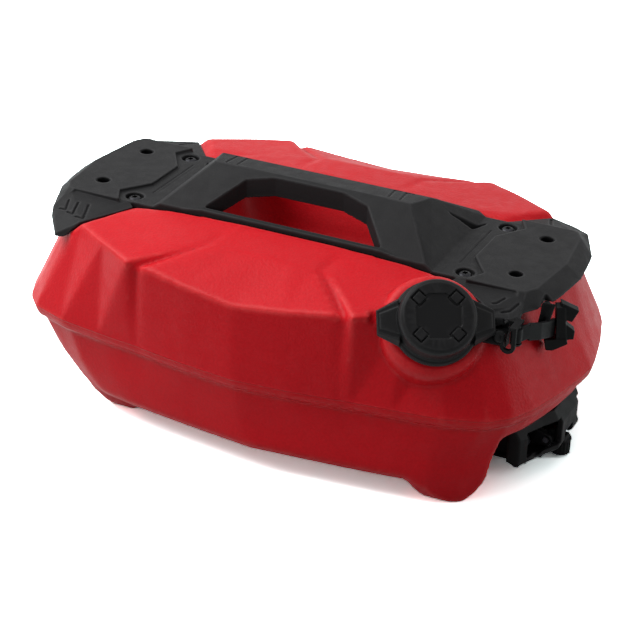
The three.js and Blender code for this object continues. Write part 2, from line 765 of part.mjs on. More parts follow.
// A cap-head screw, its seat at a height, with a socket in its head
function screw(radius, headRadius, headHeight, length, seat, place) {
  const top = seat + headHeight;
  return turned([
    [0, seat - length], [radius, seat - length], [radius, seat], [headRadius, seat],
    [headRadius, top - screwEdge], [headRadius - screwEdge, top], [0, top],
  ], place, 20).subtract(rod(socketRadius, top - socketDepth, top + overrun, place, 6));
}

function makeInsert(place) {
  return turned([
    [screwRadius + runGap, insertBottom], [insertRadius, insertBottom],
    [insertRadius, insertTop], [screwRadius + runGap, insertTop],
    [screwRadius + runGap, insertBottom],
  ], place);
}

function makeBush(place) {
  const flangeSeat = plateauHeight - bushFlangeHeight;
  return turned([
    [bushBore, deckFloor + runGap], [bushRadius, deckFloor + runGap], [bushRadius, flangeSeat],
    [bushFlange, flangeSeat], [bushFlange, plateauHeight], [bushBore, plateauHeight],
    [bushBore, deckFloor + runGap],
  ], place);
}

// The cap: a core that runs on the neck, and a shell with two wings over it
function makeCapCore() {
  const bore = neckRadius + runGap;
  return rod(bore + capCoreWall, capFlangeBottom, capCeiling, neckPlace, neckSides)
    .subtract(rod(bore, capFlangeBottom - overrun, capCeiling + overrun, neckPlace, neckSides));
}

function makeCapShell() {
  const outside = turned([
    [0, capFlangeBottom], [capFlangeRadius, capFlangeBottom], [capFlangeRadius, capFlangeTop],
    [capRadius, capFlangeTop + overrun], [capRadius, capHeight - capFlangeBottom],
    [capTopRadius, capHeight - capRecessDepth], [0, capHeight - capRecessDepth],
  ], neckPlace, neckSides);
  const wingShape = placedHull(quadrants.flatMap(([sx, sz]) => [
    [sx * capRadius, capWingLow, sz * capWingRoot],
    [sx * capRadius, capWingHigh, sz * capWingRoot * capWingTaper],
    [sx * capWingReach, capWingLow, sz * capWingTip],
    [sx * capWingReach, capWingTipHigh, sz * capWingTip * capWingTaper],
  ]), neckPlace);
  const rim = turned([
    [capRecessRadius, capHeight - capFlangeBottom], [capTopRadius, capHeight - capFlangeBottom],
    [capTopRadius - overrun, capHeight], [capRecessRadius + overrun, capHeight],
    [capRecessRadius, capHeight - capFlangeBottom],
  ], neckPlace, 8);
  const tabs = [0, 1, 2, 3].map((i) => placedBlock(
    [capRecessRadius - overrun, capHeight - capFlangeBottom, -capTabWidth / 2],
    [capTabReach, capHeight + capTabRise, capTabWidth / 2],
    neckPlace.clone().multiply(new THREE.Matrix4().makeRotationY((i + 0.5) * Math.PI / 2)),
  ));
  const core = neckRadius + runGap + capCoreWall + runGap;
  return union(outside, wingShape, rim, ...tabs)
    .subtract(rod(core, capFlangeBottom - overrun, capCeiling, neckPlace, neckSides));
}

function makeGasket() {
  const low = neckHeight + runGap;
  return rod(neckRadius - runGap, low, low + gasketThickness, neckPlace, neckSides)
    .subtract(rod(neckBore, low - overrun, low + gasketThickness + overrun, neckPlace, neckSides));
}

function makeTether() {
  const low = runGap;
  const high = runGap + tetherThickness;
  const arm = placedBlock(
    [neckRadius, low, -tetherWidth / 2], [tetherReach, high, tetherWidth / 2], tetherPlace,
  );
  return union(
    rod(tetherRadius, low, high, neckPlace, neckSides),
    arm,
    rod(tetherWidth / 2, low, high, pegPlace),
  )
    .subtract(rod(neckRadius + runGap * 2, low - overrun, high + overrun, neckPlace, neckSides))
    .subtract(rod(pegRadius + runGap, low - overrun, high + overrun, pegPlace));
}

function makePeg() {
  const seat = runGap * 2 + tetherThickness;
  return turned([
    [0, -pegDepth], [pegRadius, -pegDepth], [pegRadius, seat], [pegHeadRadius, seat],
    [pegHeadRadius, seat + pegHeadEdge], [pegHeadTop, seat + pegHeadHeight],
    [0, seat + pegHeadHeight],
  ], pegPlace);
}

function makeBracket() {
  return block(bracketLow, bracketHigh)
    .subtract(tankSkin(-seatGap))
    .subtract(rod(bracketSweep, 0, reliefHeight, neckPlace, neckSides))
    .subtract(rod(bossRadius + seatGap, -bossDepth, 0, neckPlace, neckSides))
    .subtract(rod(pegRadius + runGap, -pegDepth - overrun, overrun, pegPlace))
    .subtract(rod(strapPostRadius + runGap, strapPostLow, strapHigh, postPlace));
}

function makeStrapPost() {
  return turned([
    [0, strapPostLow + runGap], [strapPostRadius, strapPostLow + runGap],
    [strapPostRadius, strapHigh + runGap], [strapPostHead, strapHigh + runGap],
    [strapPostHead, strapHigh + strapPostHeadHeight], [0, strapHigh + strapPostHeadHeight],
  ], postPlace);
}

function makeStrap() {
  return union(
    rod(strapEyeRadius, strapLow, strapHigh, postPlace),
    slab(strapRoot, strapLow, strapHigh),
    slab(strapBand, strapLow, strapHigh, strapDroop),
    slab(strapStrip, deckHeight * stripLowShare, strapHigh),
  ).subtract(rod(strapPostRadius + runGap, strapLow - overrun, strapHigh + overrun, postPlace));
}

function makeStrapGrip() {
  const blocks = gripBlocks.map(([low, high]) => chamferedBlock(low, high, gripEdge));
  return union(...blocks).subtract(placedBlock(...gripSleeve, strapDroop));
}

function makeCatch() {
  return chamferedBlock(catchLow, catchHigh, catchEdge);
}

function makeLatchBase() {
  const ears = ends.map((s) => crosswise(
    [...earFoot, ...circle(leverPinX, leverPinZ, earRadius)], s * earSpan[0], s * earSpan[1],
  ));
  const ribs = ends.flatMap((s) => [
    [hookSpan[0] - runGap - hookRibThickness, hookSpan[0] - runGap],
    [hookSpan[1] + runGap, hookSpan[1] + runGap + hookRibThickness],
  ].map(([low, high]) => crosswise(hookRib, s * low, s * high)));
  const disc = rod(tongueDisc, tongueLow[2], tongueDiscTop, standing(knobX, 0, 0));
  const screwSeats = baseScrewPlaces(1).map((place) => turned([
    [0, recessWall - overrun], [baseScrewRadius + runGap, recessWall - overrun],
    [baseScrewRadius + runGap, baseSeat], [baseScrewHead + runGap, baseSeat],
    [baseScrewHead + runGap, baseSeat + reliefHeight], [0, baseSeat + reliefHeight],
  ], place));
  return union(block(...latchBack), ...ears, ...ribs, block(tongueLow, tongueHigh), disc)
    .subtract(union(...screwSeats))
    .subtract(rod(leverPinRadius + runGap, -recessHalfWidth, recessHalfWidth, leverPinPlace))
    .subtract(rod(hookPinRadius + runGap, -recessHalfWidth, recessHalfWidth, hookPinPlace))
    .subtract(rod(knobStemRadius + runGap, 0, leverBottom + leverTop, standing(knobX, 0, 0)));
}

function makeLever() {
  const spans = leverFace.slice(1).map((here, i) => [leverFace[i], here]);
  const front = spans.map((pair) => hull(pair.flatMap(([y, x]) => [
    [x - leverThickness, y, leverBottom], [x - leverEdge, y, leverBottom],
    [x, y, leverBottom + leverEdge], [x, y, leverKnee], [x - leverThickness, y, leverKnee],
  ])));
  const crown = spans.map((pair) => hull(pair.flatMap(([y, x]) => [
    [x, y, leverKnee], [x - leverThickness, y, leverKnee],
    [x - leverTuck - leverThickness, y, leverTop], [x - leverTuck, y, leverTop],
  ])));
  const [edge, edgeFace] = leverFace[leverFace.length - 1];
  const walls = ends.map((s) => crosswise(leverEndWall, s * edge, s * (edge - leverThickness)));
  const [, crownFace] = leverFace[2];
  const knuckles = ends.map((s) => crosswise([
    ...circle(leverPinX, leverPinZ, knuckleRadius),
    [crownFace - leverThickness + leverEdge, leverBottom + leverEdge],
    [crownFace - leverThickness + leverEdge, leverKnee - leverTuck],
  ], s * knuckleSpan[0], s * knuckleSpan[1]));
  const [near, far, low, high] = leverWindow;
  const windows = ends.map((s) => block(
    [recessWall, Math.min(s * near, s * far), low], [latchReach, Math.max(s * near, s * far), high],
  ));
  const notch = block(
    [leverPinX + knuckleRadius - overrun, -leverNotchHalf, 0],
    [latchReach, leverNotchHalf, leverNotchTop],
  );
  const room = block(
    [recessWall, -edge + leverThickness, 0],
    [edgeFace - leverThickness, edge - leverThickness, leverKnee - leverTuck],
  );
  return union(...front, ...crown, ...walls)
    .subtract(union(...windows, room))
    .add(union(...knuckles))
    .subtract(notch)
    .subtract(rod(leverPinRadius + runGap, -edge, edge, leverPinPlace));
}

function makeHook() {
  const [low, high] = hookSpan.map((y) => -y);
  const body = circle(hookPinX, hookPinZ, hookRadius);
  return union(
    crosswise([...body, ...hookNose], low, high),
    crosswise([...body, ...hookTail], low, high),
  ).subtract(rod(hookPinRadius + runGap, high - overrun, low + overrun, hookPinPlace));
}

function makeKnob() {
  const outline = Array.from({ length: knobRidges * 2 }, (_, i) => {
    const angle = (Math.PI * i) / knobRidges;
    const radius = i % 2 ? knobRadius - knobNotch : knobRadius;
    return [knobX + radius * Math.cos(angle), radius * Math.sin(angle)];
  });
  const stem = rod(
    knobStemRadius, knobHigh - overrun, tongueHigh[2] - runGap, standing(knobX, 0, 0),
  );
  return slab(outline, knobLow, knobHigh).add(stem);
}

function makeSpring() {
  const count = springTurns * springSteps;
  const rings = Array.from({ length: count + 1 }, (_, i) => {
    const angle = (2 * Math.PI * i) / springSteps;
    const rise = (2 * springHalf) / count;
    const radial = new THREE.Vector3(Math.cos(angle), 0, Math.sin(angle));
    const step = (2 * Math.PI * springRadius) / springSteps;
    const along = new THREE.Vector3(-Math.sin(angle) * step, rise, Math.cos(angle) * step)
      .normalize();
    const across = new THREE.Vector3().crossVectors(along, radial);
    const middle = new THREE.Vector3(leverPinX, rise * i - springHalf, leverPinZ)
      .addScaledVector(radial, springRadius);
    return Array.from({ length: wireSides }, (__, k) => {
      const turn = (2 * Math.PI * k) / wireSides;
      return middle.clone()
        .addScaledVector(radial, springWire * Math.cos(turn))
        .addScaledVector(across, springWire * Math.sin(turn));
    });
  });
  return loft(rings);
}

const gasCan = new THREE.Group();

function add(name, body, material, turn = new THREE.Matrix4()) {
  const mesh = new THREE.Mesh(geometryOf(body).applyMatrix4(turn), material);
  mesh.name = name;
  gasCan.add(mesh);
}

add("tank", makeTank(), red);
add("carry_plate", makePlate(), black);
everyScrew((place) => screw(
  screwRadius, screwHeadRadius, screwHeadHeight, screwLength, screwSeat, place,
)).forEach((body, i) => add(`plate_screw_${i + 1}`, body, steel));
everyScrew(makeInsert).forEach((body, i) => add(`screw_insert_${i + 1}`, body, brass));
everyAnchor(makeBush).forEach((body, i) => add(`anchor_bush_${i + 1}`, body, bright));

add("cap_core", makeCapCore(), black);
add("cap_shell", makeCapShell(), black);
add("cap_gasket", makeGasket(), rubber);
add("cap_tether", makeTether(), rubber);
add("tether_peg", makePeg(), black);
add("strap_bracket", makeBracket(), black);
add("strap_post", makeStrapPost(), black);
add("hold_strap", makeStrap(), rubber);
add("strap_grip", makeStrapGrip(), rubber);
add("strap_catch", makeCatch(), black);

ends.forEach((side) => {
  const end = side > 0 ? "right" : "left";
  const turn = new THREE.Matrix4().makeRotationZ(side > 0 ? 0 : Math.PI)
    .multiply(new THREE.Matrix4().makeTranslation(latchShift, 0, 0));
  const pin = (half, place, middle = 0) => rod(
    leverPinRadius, middle - half, middle + half, place,
  );
  add(`${end}_latch_base`, makeLatchBase(), black, turn);
  add(`${end}_latch_lever`, makeLever(), black, turn);
  add(`${end}_lever_pin`, pin(leverPinHalf, leverPinPlace), steel, turn);
  add(`${end}_latch_hook`, makeHook(), bright, turn);
  add(`${end}_hook_pin`, pin(hookPinHalf, hookPinPlace, -hookMiddle), steel, turn);
  add(`${end}_lever_spring`, makeSpring(), bright, turn);
  add(`${end}_latch_knob`, makeKnob(), black, turn);
  baseScrewPlaces(1).forEach((place, i) => add(`${end}_base_screw_${i + 1}`, screw(
    baseScrewRadius, baseScrewHead, baseScrewHeadHeight, baseScrewLength, baseSeat, place,
  ), steel, turn));
});

export default gasCan;
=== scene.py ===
"""Looks for the stackable gas can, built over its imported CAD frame.

Each moulding starts as a copy of its CAD solid, takes its ribs, grooves and recesses from
bmesh cutters, and is then rounded as a moulded part is. Metres, the same frame as the CAD.
"""

import json
import math

import bmesh
import bpy
import numpy as np
from bpy.props import (
    FloatProperty,
    FloatVectorProperty,
    IntProperty,
    PointerProperty,
)
from mathutils import Matrix, Vector

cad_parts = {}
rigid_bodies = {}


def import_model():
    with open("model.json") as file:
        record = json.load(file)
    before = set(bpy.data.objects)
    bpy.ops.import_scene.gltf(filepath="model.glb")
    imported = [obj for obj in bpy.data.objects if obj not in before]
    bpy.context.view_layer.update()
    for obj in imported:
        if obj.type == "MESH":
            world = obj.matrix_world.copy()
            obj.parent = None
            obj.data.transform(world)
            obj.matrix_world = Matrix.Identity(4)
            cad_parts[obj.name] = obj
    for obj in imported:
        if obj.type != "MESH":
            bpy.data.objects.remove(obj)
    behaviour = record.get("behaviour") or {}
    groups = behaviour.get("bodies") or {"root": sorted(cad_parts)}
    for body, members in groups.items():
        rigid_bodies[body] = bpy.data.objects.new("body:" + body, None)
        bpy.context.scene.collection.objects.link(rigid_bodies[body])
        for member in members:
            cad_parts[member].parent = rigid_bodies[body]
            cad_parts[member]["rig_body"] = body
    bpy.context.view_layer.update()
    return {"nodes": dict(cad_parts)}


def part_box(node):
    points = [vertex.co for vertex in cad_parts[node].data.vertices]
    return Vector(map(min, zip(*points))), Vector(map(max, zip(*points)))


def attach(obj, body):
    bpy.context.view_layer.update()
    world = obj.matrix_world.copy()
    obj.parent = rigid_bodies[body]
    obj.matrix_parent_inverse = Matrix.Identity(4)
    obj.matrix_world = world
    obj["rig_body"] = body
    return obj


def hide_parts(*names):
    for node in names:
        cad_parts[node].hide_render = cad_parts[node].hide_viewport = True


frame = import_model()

bl_info = {
    "name": "Stackable Gas Can",
    "version": (1, 0, 0),
    "blender": (4, 5, 0),
    "location": "View3D > Sidebar > Gas Can",
    "description": "Dresses the gas can's CAD frame with moulded plastic, rubber and steel",
    "category": "Object",
}

ENDS = (("right", 1.0), ("left", -1.0))
# The mould's parting line: two ridges round the tank, the lower one a step under the waist
WAIST = 0.086
RIDGE_STEP = 0.0075
RIDGE_REACH = 0.0012
RIDGE_HEIGHT = 0.0005


def srgb(r, g, b):
    """A colour as seen on screen, 0 to 255, as the linear values that a shader takes"""

    def linear(v):
        v /= 255.0
        return v / 12.92 if v <= 0.04045 else ((v + 0.055) / 1.055) ** 2.4

    return (linear(r), linear(g), linear(b))


def length_prop(name, description, value):
    return FloatProperty(
        name=name, description=description, default=value, min=0.0, unit="LENGTH", precision=5
    )


def count_prop(name, description, value):
    return IntProperty(name=name, description=description, default=value, min=0)


def colour_prop(name, description, rgb):
    return FloatVectorProperty(
        name=name, description=description, subtype="COLOR", size=3, default=rgb, min=0, max=1
    )


class GasCanMoulding(bpy.types.PropertyGroup):
    """Sizes of the mouldings' edges, grooves and ribs"""

    tank_cell: length_prop("Tank cell", "Cell that the tank is rounded on", 0.0018)
    tank_rounds: count_prop("Tank rounds", "Rounding passes on the tank", 5)
    flank_rounds: count_prop("Flank rounds", "Further rounding passes on the flanks", 26)
    plate_cell: length_prop("Plate cell", "Cell that the plate is rounded on", 0.0007)
    plate_rounds: count_prop("Plate rounds", "Rounding passes on the plate", 3)
    groove_width: length_prop("Groove width", "Width of the wing grooves", 0.0019)
    groove_depth: length_prop("Groove depth", "Depth of the wing grooves", 0.0016)
    line_width: length_prop("Line width", "Width of the twin lines on the lands", 0.0014)
    line_depth: length_prop("Line depth", "Depth of the twin lines on the lands", 0.0008)
    hole_radius: length_prop("Hole radius", "Radius of the anchor holes in the plate", 0.0061)
    counterbore: length_prop("Counterbore", "Radius of the hollows round the screws", 0.0078)


class GasCanColours(bpy.types.PropertyGroup):
    """Colours of the finishes"""

    tank_red: colour_prop("Tank red", "Blow-moulded tank", srgb(212, 20, 32))
    # Paler red for rubbed wear and for a painted highlight along the tank's convex edges
    worn_sheen_red: colour_prop("Worn and sheen red", "Rubbed edges of the tank", srgb(226, 62, 64))
    charcoal: colour_prop("Charcoal", "Carry plate", srgb(34, 34, 35))
    # Paler charcoal for rubbed wear and for a painted highlight along convex edges of the plate
    # and cap
    worn_sheen_charcoal: colour_prop("Worn and sheen charcoal", "Rubbed edges of the plate", srgb(60, 60, 61))
    cap_black: colour_prop("Cap black", "Cap, latches and tether", srgb(17, 17, 18))
    rubber_black: colour_prop("Rubber black", "Hold strap and gasket", srgb(10, 10, 11))
    screw_steel: colour_prop("Screw steel", "Black plated screws", srgb(26, 26, 28))
    pin_steel: colour_prop("Pin steel", "Pins and springs", srgb(62, 62, 66))
    insert_brass: colour_prop("Insert brass", "Threaded inserts", srgb(190, 154, 84))
    floor: colour_prop("Floor", "Studio floor as the lens sees it", (0.95, 0.95, 0.95))
    floor_bounce: colour_prop(
        "Floor bounce", "Light that the floor gives back", (0.25, 0.25, 0.25)
    )


def moulding():
    return bpy.context.scene.gas_can_moulding


def colours():
    return bpy.context.scene.gas_can_colours


# Node groups and materials


def group_socket(group, name, kind, way, value=None):
    socket = group.interface.new_socket(name=name, in_out=way, socket_type=kind)
    if value is not None:
        socket.default_value = value


def link(tree, source, target):
    tree.links.new(source, target)


def math_node(tree, operation, a, b=None, clamp=False):
    node = tree.nodes.new("ShaderNodeMath")
    node.operation = operation
    node.use_clamp = clamp
    for socket, value in zip(node.inputs, (a, b)):
        if value is None:
            continue
        if isinstance(value, (int, float)):
            socket.default_value = value
        else:
            link(tree, value, socket)
    return node.outputs[0]


def noise_node(tree, vector, scale, detail=2.0, rough=0.5):
    node = tree.nodes.new("ShaderNodeTexNoise")
    link(tree, vector, node.inputs["Vector"])
    if isinstance(scale, (int, float)):
        node.inputs["Scale"].default_value = scale
    else:
        link(tree, scale, node.inputs["Scale"])
    node.inputs["Detail"].default_value = detail
    node.inputs["Roughness"].default_value = rough
    return node.outputs[0]


def range_node(tree, value, low, high, out_low=0.0, out_high=1.0):
    node = tree.nodes.new("ShaderNodeMapRange")
    node.interpolation_type = "SMOOTHSTEP"
    for name, v in (
        ("From Min", low),
        ("From Max", high),
        ("To Min", out_low),
        ("To Max", out_high),
    ):
        node.inputs[name].default_value = v
    link(tree, value, node.inputs["Value"])
    return node.outputs["Result"]


def mix_node(tree, factor, a, b):
    node = tree.nodes.new("ShaderNodeMix")
    node.data_type = "RGBA"
    link(tree, factor, node.inputs["Factor"])
    for name, value in (("A", a), ("B", b)):
        socket = [s for s in node.inputs if s.name == name and s.type == "RGBA"][0]
        if isinstance(value, (tuple, list)):
            socket.default_value = (*value[:3], 1.0)
        else:
            link(tree, value, socket)
    return [s for s in node.outputs if s.type == "RGBA"][0]


def grain_wear_and_painted_light_group():
    """Moulded finish: slow colour drift, a fine grain, edges rubbed paler with a painted highlight
    on them, and painted shade in the hollows
    """
    found = bpy.data.node_groups.get("moulded_grain_wear_and_painted_light")
    if found:
        return found
    tree = bpy.data.node_groups.new("moulded_grain_wear_and_painted_light", "ShaderNodeTree")
    group_socket(tree, "Colour", "NodeSocketColor", "INPUT")
    group_socket(tree, "Worn and Sheen Colour", "NodeSocketColor", "INPUT")
    group_socket(tree, "Wear and Sheen", "NodeSocketFloat", "INPUT", 0.5)
    group_socket(tree, "Grain Scale", "NodeSocketFloat", "INPUT", 1400.0)
    group_socket(tree, "Roughness", "NodeSocketFloat", "INPUT", 0.5)
    group_socket(tree, "Colour", "NodeSocketColor", "OUTPUT")
    group_socket(tree, "Roughness", "NodeSocketFloat", "OUTPUT")
    group_socket(tree, "Height", "NodeSocketFloat", "OUTPUT")
    source = tree.nodes.new("NodeGroupInput")
    sink = tree.nodes.new("NodeGroupOutput")
    place = tree.nodes.new("ShaderNodeTexCoord").outputs["Object"]
    edge = tree.nodes.new("ShaderNodeAttribute")
    edge.attribute_type = "GEOMETRY"
    edge.attribute_name = "edge"
    drift = noise_node(tree, place, scale=14.0, detail=3.0)
    smear = noise_node(tree, place, scale=95.0, detail=4.0, rough=0.6)
    grain = noise_node(tree, place, source.outputs["Grain Scale"], detail=3.0, rough=0.6)
    # Paler where the edge is convex, and broken up by the smear: rubbed wear and a painted
    # highlight
    rubbed_and_sheen = range_node(tree, edge.outputs["Fac"], 0.56, 0.95)
    broken = range_node(tree, smear, 0.3, 0.62, 0.35, 1.0)
    worn_and_sheen = math_node(tree, "MULTIPLY", rubbed_and_sheen, broken)
    worn_and_sheen = math_node(tree, "MULTIPLY", worn_and_sheen, source.outputs["Wear and Sheen"], clamp=True)
    base = mix_node(tree, worn_and_sheen, source.outputs["Colour"], source.outputs["Worn and Sheen Colour"])
    # Painted shade in the hollows, and the drift, darken it a little
    hollow = range_node(tree, edge.outputs["Fac"], 0.05, 0.45, 0.84, 1.0)
    shade = range_node(tree, drift, 0.25, 0.75, 0.93, 1.0)
    shade = math_node(tree, "MULTIPLY", shade, hollow)
    fine = range_node(tree, grain, 0.3, 0.7, 0.9, 1.0)
    shade = math_node(tree, "MULTIPLY", shade, fine)
    scale = tree.nodes.new("ShaderNodeVectorMath")
    scale.operation = "SCALE"
    link(tree, base, scale.inputs[0])
    link(tree, shade, scale.inputs["Scale"])
    link(tree, scale.outputs["Vector"], sink.inputs["Colour"])
    spread = range_node(tree, smear, 0.25, 0.75, -0.05, 0.06)
    rough = math_node(tree, "ADD", source.outputs["Roughness"], spread)
    polish = math_node(tree, "MULTIPLY", worn_and_sheen, 0.08)
    link(tree, math_node(tree, "SUBTRACT", rough, polish, True), sink.inputs["Roughness"])
    link(tree, grain, sink.inputs["Height"])
    return tree


# Each finish: its colour and its worn colour, which is also a painted highlight on convex edges,
# how much is worn and highlighted, its grain in cells a metre and in metres of depth, its
# roughness, and how metallic and how specular it is
FINISHES = {
    "tank_red_hdpe": ("tank_red", "worn_sheen_red", 0.55, 480.0, 0.00032, 0.4, 0.0, 0.12),
    "plate_charcoal": ("charcoal", "worn_sheen_charcoal", 0.5, 1100.0, 0.00022, 0.54, 0.0, 0.1),
    "cap_black": ("cap_black", "worn_sheen_charcoal", 0.3, 2200.0, 0.00005, 0.44, 0.0, 0.1),
    "latch_black": ("rubber_black", "charcoal", 0.3, 2200.0, 0.00005, 0.5, 0.0, 0.07),
    "rubber_black": ("rubber_black", "charcoal", 0.4, 2400.0, 0.00004, 0.42, 0.0, 0.06),
    "screw_steel": ("screw_steel", "pin_steel", 0.6, 3000.0, 0.00002, 0.42, 1.0, 0.5),
    "pin_steel": ("pin_steel", "pin_steel", 0.3, 3000.0, 0.00002, 0.3, 1.0, 0.5),
    "insert_brass": ("insert_brass", "insert_brass", 0.3, 2600.0, 0.00002, 0.35, 1.0, 0.5),
}


def finish(name):
    """The material for one of the finishes, built on the group of grain, wear, painted highlight
    and painted shade
    """
    made = bpy.data.materials.get(name)
    if made:
        return made
    colour, worn_and_sheen, wear_and_sheen, grain, depth, rough, metal, specular = FINISHES[name]
    made = bpy.data.materials.new(name)
    made.use_nodes = True
    tree = made.node_tree
    shader = tree.nodes["Principled BSDF"]
    group = tree.nodes.new("ShaderNodeGroup")
    group.node_tree = grain_wear_and_painted_light_group()
    group.inputs["Colour"].default_value = (*getattr(colours(), colour), 1.0)
    group.inputs["Worn and Sheen Colour"].default_value = (*getattr(colours(), worn_and_sheen), 1.0)
    group.inputs["Wear and Sheen"].default_value = wear_and_sheen
    group.inputs["Grain Scale"].default_value = grain
    group.inputs["Roughness"].default_value = rough
    link(tree, group.outputs["Colour"], shader.inputs["Base Color"])
    link(tree, group.outputs["Roughness"], shader.inputs["Roughness"])
    shader.inputs["Metallic"].default_value = metal
    shader.inputs["Specular IOR Level"].default_value = specular
    bump = tree.nodes.new("ShaderNodeBump")
    bump.inputs["Strength"].default_value = 1.0
    bump.inputs["Distance"].default_value = depth
    link(tree, group.outputs["Height"], bump.inputs["Height"])
    link(tree, bump.outputs["Normal"], shader.inputs["Normal"])
    return made


def tank_finish():
    """Red polyethylene with the mould's parting line round the waist"""
    made = finish("tank_red_hdpe")
    tree = made.node_tree
    if tree.nodes.get("parting"):
        return made
    shader = tree.nodes["Principled BSDF"]
    place = tree.nodes.new("ShaderNodeSeparateXYZ")
    place.name = "parting"
    link(tree, tree.nodes.new("ShaderNodeTexCoord").outputs["Object"], place.inputs[0])
    ridges = []
    for level in (WAIST, WAIST - RIDGE_STEP):
        off = math_node(tree, "ABSOLUTE", math_node(tree, "SUBTRACT", place.outputs["Z"], level))
        ridges.append(range_node(tree, off, 0.0, RIDGE_REACH, 1.0, 0.0))
    ridge = math_node(tree, "ADD", *ridges)
    bump = tree.nodes.new("ShaderNodeBump")
    bump.inputs["Distance"].default_value = RIDGE_HEIGHT
    link(tree, ridge, bump.inputs["Height"])
    link(tree, shader.inputs["Normal"].links[0].from_socket, bump.inputs["Normal"])
    link(tree, bump.outputs["Normal"], shader.inputs["Normal"])
    return made


# Mesh helpers


def cad_copy(node):
    """The CAD node's triangles with their corners merged"""
    bm = bmesh.new()
    bm.from_mesh(frame["nodes"][node].data)
    bmesh.ops.remove_doubles(bm, verts=bm.verts, dist=2e-6)
    return bm


def object_from(name, bm):
    mesh = bpy.data.meshes.new(name)
    bm.to_mesh(mesh)
    bm.free()
    made = bpy.data.objects.new(name, mesh)
    bpy.context.scene.collection.objects.link(made)
    return made


def bake(obj):
    """Applies the modifiers, and leaves a plain mesh"""
    bpy.context.view_layer.update()
    graph = bpy.context.evaluated_depsgraph_get()
    baked = bpy.data.meshes.new_from_object(obj.evaluated_get(graph))
    old = obj.data
    obj.modifiers.clear()
    obj.data = baked
    bpy.data.meshes.remove(old)
    baked.name = obj.name


def carve(obj, tools, operation="DIFFERENCE"):
    """Cuts the tool meshes out of the object, or joins them to it"""
    for tool in tools:
        bmesh.ops.recalc_face_normals(tool, faces=tool.faces)
        cutter = object_from("cutter", tool)
        step = obj.modifiers.new("carve", "BOOLEAN")
        step.operation = operation
        step.solver = "EXACT"
        step.object = cutter
        bake(obj)
        mesh = cutter.data
        bpy.data.objects.remove(cutter)
        bpy.data.meshes.remove(mesh)
    return obj


def drop_specks(obj, least=60):
    """Drops the loose shells with fewer points than that, which rounding can leave"""
    bm = bmesh.new()
    bm.from_mesh(obj.data)
    seen = set()
    specks = []
    for first in bm.verts:
        if first in seen:
            continue
        seen.add(first)
        shell = [first]
        for vert in shell:
            for edge in vert.link_edges:
                other = edge.other_vert(vert)
                if other not in seen:
                    seen.add(other)
                    shell.append(other)
        if len(shell) < least:
            specks += shell
    bmesh.ops.delete(bm, geom=specks, context="VERTS")
    bm.to_mesh(obj.data)
    bm.free()


def soften(obj, cell, rounds, keep=1.0, freedom=None, more=0):
    """Rounds every edge as a mould does, on an even net of cells.

    Freedom measures, from 0 to 1, which points take the further rounds that more asks for.
    """
    net = obj.modifiers.new("net", "REMESH")
    net.mode = "VOXEL"
    net.voxel_size = cell
    smooth = obj.modifiers.new("smooth", "SMOOTH")
    smooth.factor = 0.5
    smooth.iterations = rounds
    if freedom:
        bake(obj)
        place = np.empty(len(obj.data.vertices) * 3)
        obj.data.vertices.foreach_get("co", place)
        share = np.round(freedom(place.reshape(-1, 3)) * 10).astype(int)
        group = obj.vertex_groups.new(name="freedom")
        for tenth in range(1, 11):
            group.add(np.flatnonzero(share == tenth).tolist(), tenth / 10, "REPLACE")
        smooth = obj.modifiers.new("smooth", "SMOOTH")
        smooth.factor = 0.5
        smooth.iterations = more
        smooth.vertex_group = "freedom"
    if keep < 1.0:
        thin = obj.modifiers.new("thin", "DECIMATE")
        thin.ratio = keep
    bake(obj)
    obj.vertex_groups.clear()
    drop_specks(obj)
    return obj


def bevelled(bm, width, segments=2, angle=25.0):
    """Joins the flat faces, and bevels what is sharper than the angle"""
    bmesh.ops.dissolve_limit(
        bm, angle_limit=math.radians(1.0), verts=bm.verts, edges=bm.edges
    )
    sharp = [
        e
        for e in bm.edges
        if len(e.link_faces) == 2 and e.calc_face_angle(0.0) > math.radians(angle)
    ]
    bmesh.ops.bevel(
        bm,
        geom=sharp,
        offset=width,
        offset_type="OFFSET",
        affect="EDGES",
        segments=segments,
        profile=0.5,
        material=-1,
        clamp_overlap=True,
    )
    return bm


def mark_edges(obj, reach=0.006):
    """Keeps how sharply the surface turns in the attribute edge: 0.5 flat, 1 convex"""
    mesh = obj.data
    points, edges = len(mesh.vertices), len(mesh.edges)
    place = np.empty(points * 3)
    turn = np.empty(points * 3)
    pairs = np.empty(edges * 2, dtype=np.int64)
    mesh.vertices.foreach_get("co", place)
    mesh.vertices.foreach_get("normal", turn)
    mesh.edges.foreach_get("vertices", pairs)
    place, turn, pairs = place.reshape(-1, 3), turn.reshape(-1, 3), pairs.reshape(-1, 2)
    a, b = pairs[:, 0], pairs[:, 1]
    step = place[b] - place[a]
    bend = ((turn[b] - turn[a]) * step).sum(1) / np.maximum((step**2).sum(1), 1e-12)
    count = np.maximum(np.bincount(pairs.ravel(), minlength=points), 1)
    total = np.bincount(a, bend, points) + np.bincount(b, bend, points)
    value = total / count
    for _ in range(2):
        near = np.bincount(a, value[b], points) + np.bincount(b, value[a], points)
        value = 0.5 * value + 0.5 * near / count
    value = np.clip(0.5 + value * reach, 0.0, 1.0)
    layer = mesh.attributes.get("edge") or mesh.attributes.new("edge", "FLOAT", "POINT")
    layer.data.foreach_set("value", value.astype(np.float32))


def shade(obj, angle=None):
    """Smooth shading, with edges sharper than the angle kept crisp"""
    mesh = obj.data
    mesh.shade_smooth()
    if angle is not None:
        mesh.set_sharp_from_angle(angle=math.radians(angle))


def settle(obj, nodes, material, angle=None, reach=0.006):
    """Finishes a piece: shading, edge marks, material, and the CAD nodes it stands for"""
    nodes = [nodes] if isinstance(nodes, str) else list(nodes)
    shade(obj, angle)
    mark_edges(obj, reach)
    obj.data.materials.clear()
    obj.data.materials.append(material)
    for face in obj.data.polygons:
        face.material_index = 0
    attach(obj, frame["nodes"][nodes[0]]["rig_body"])
    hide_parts(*nodes)
    return obj


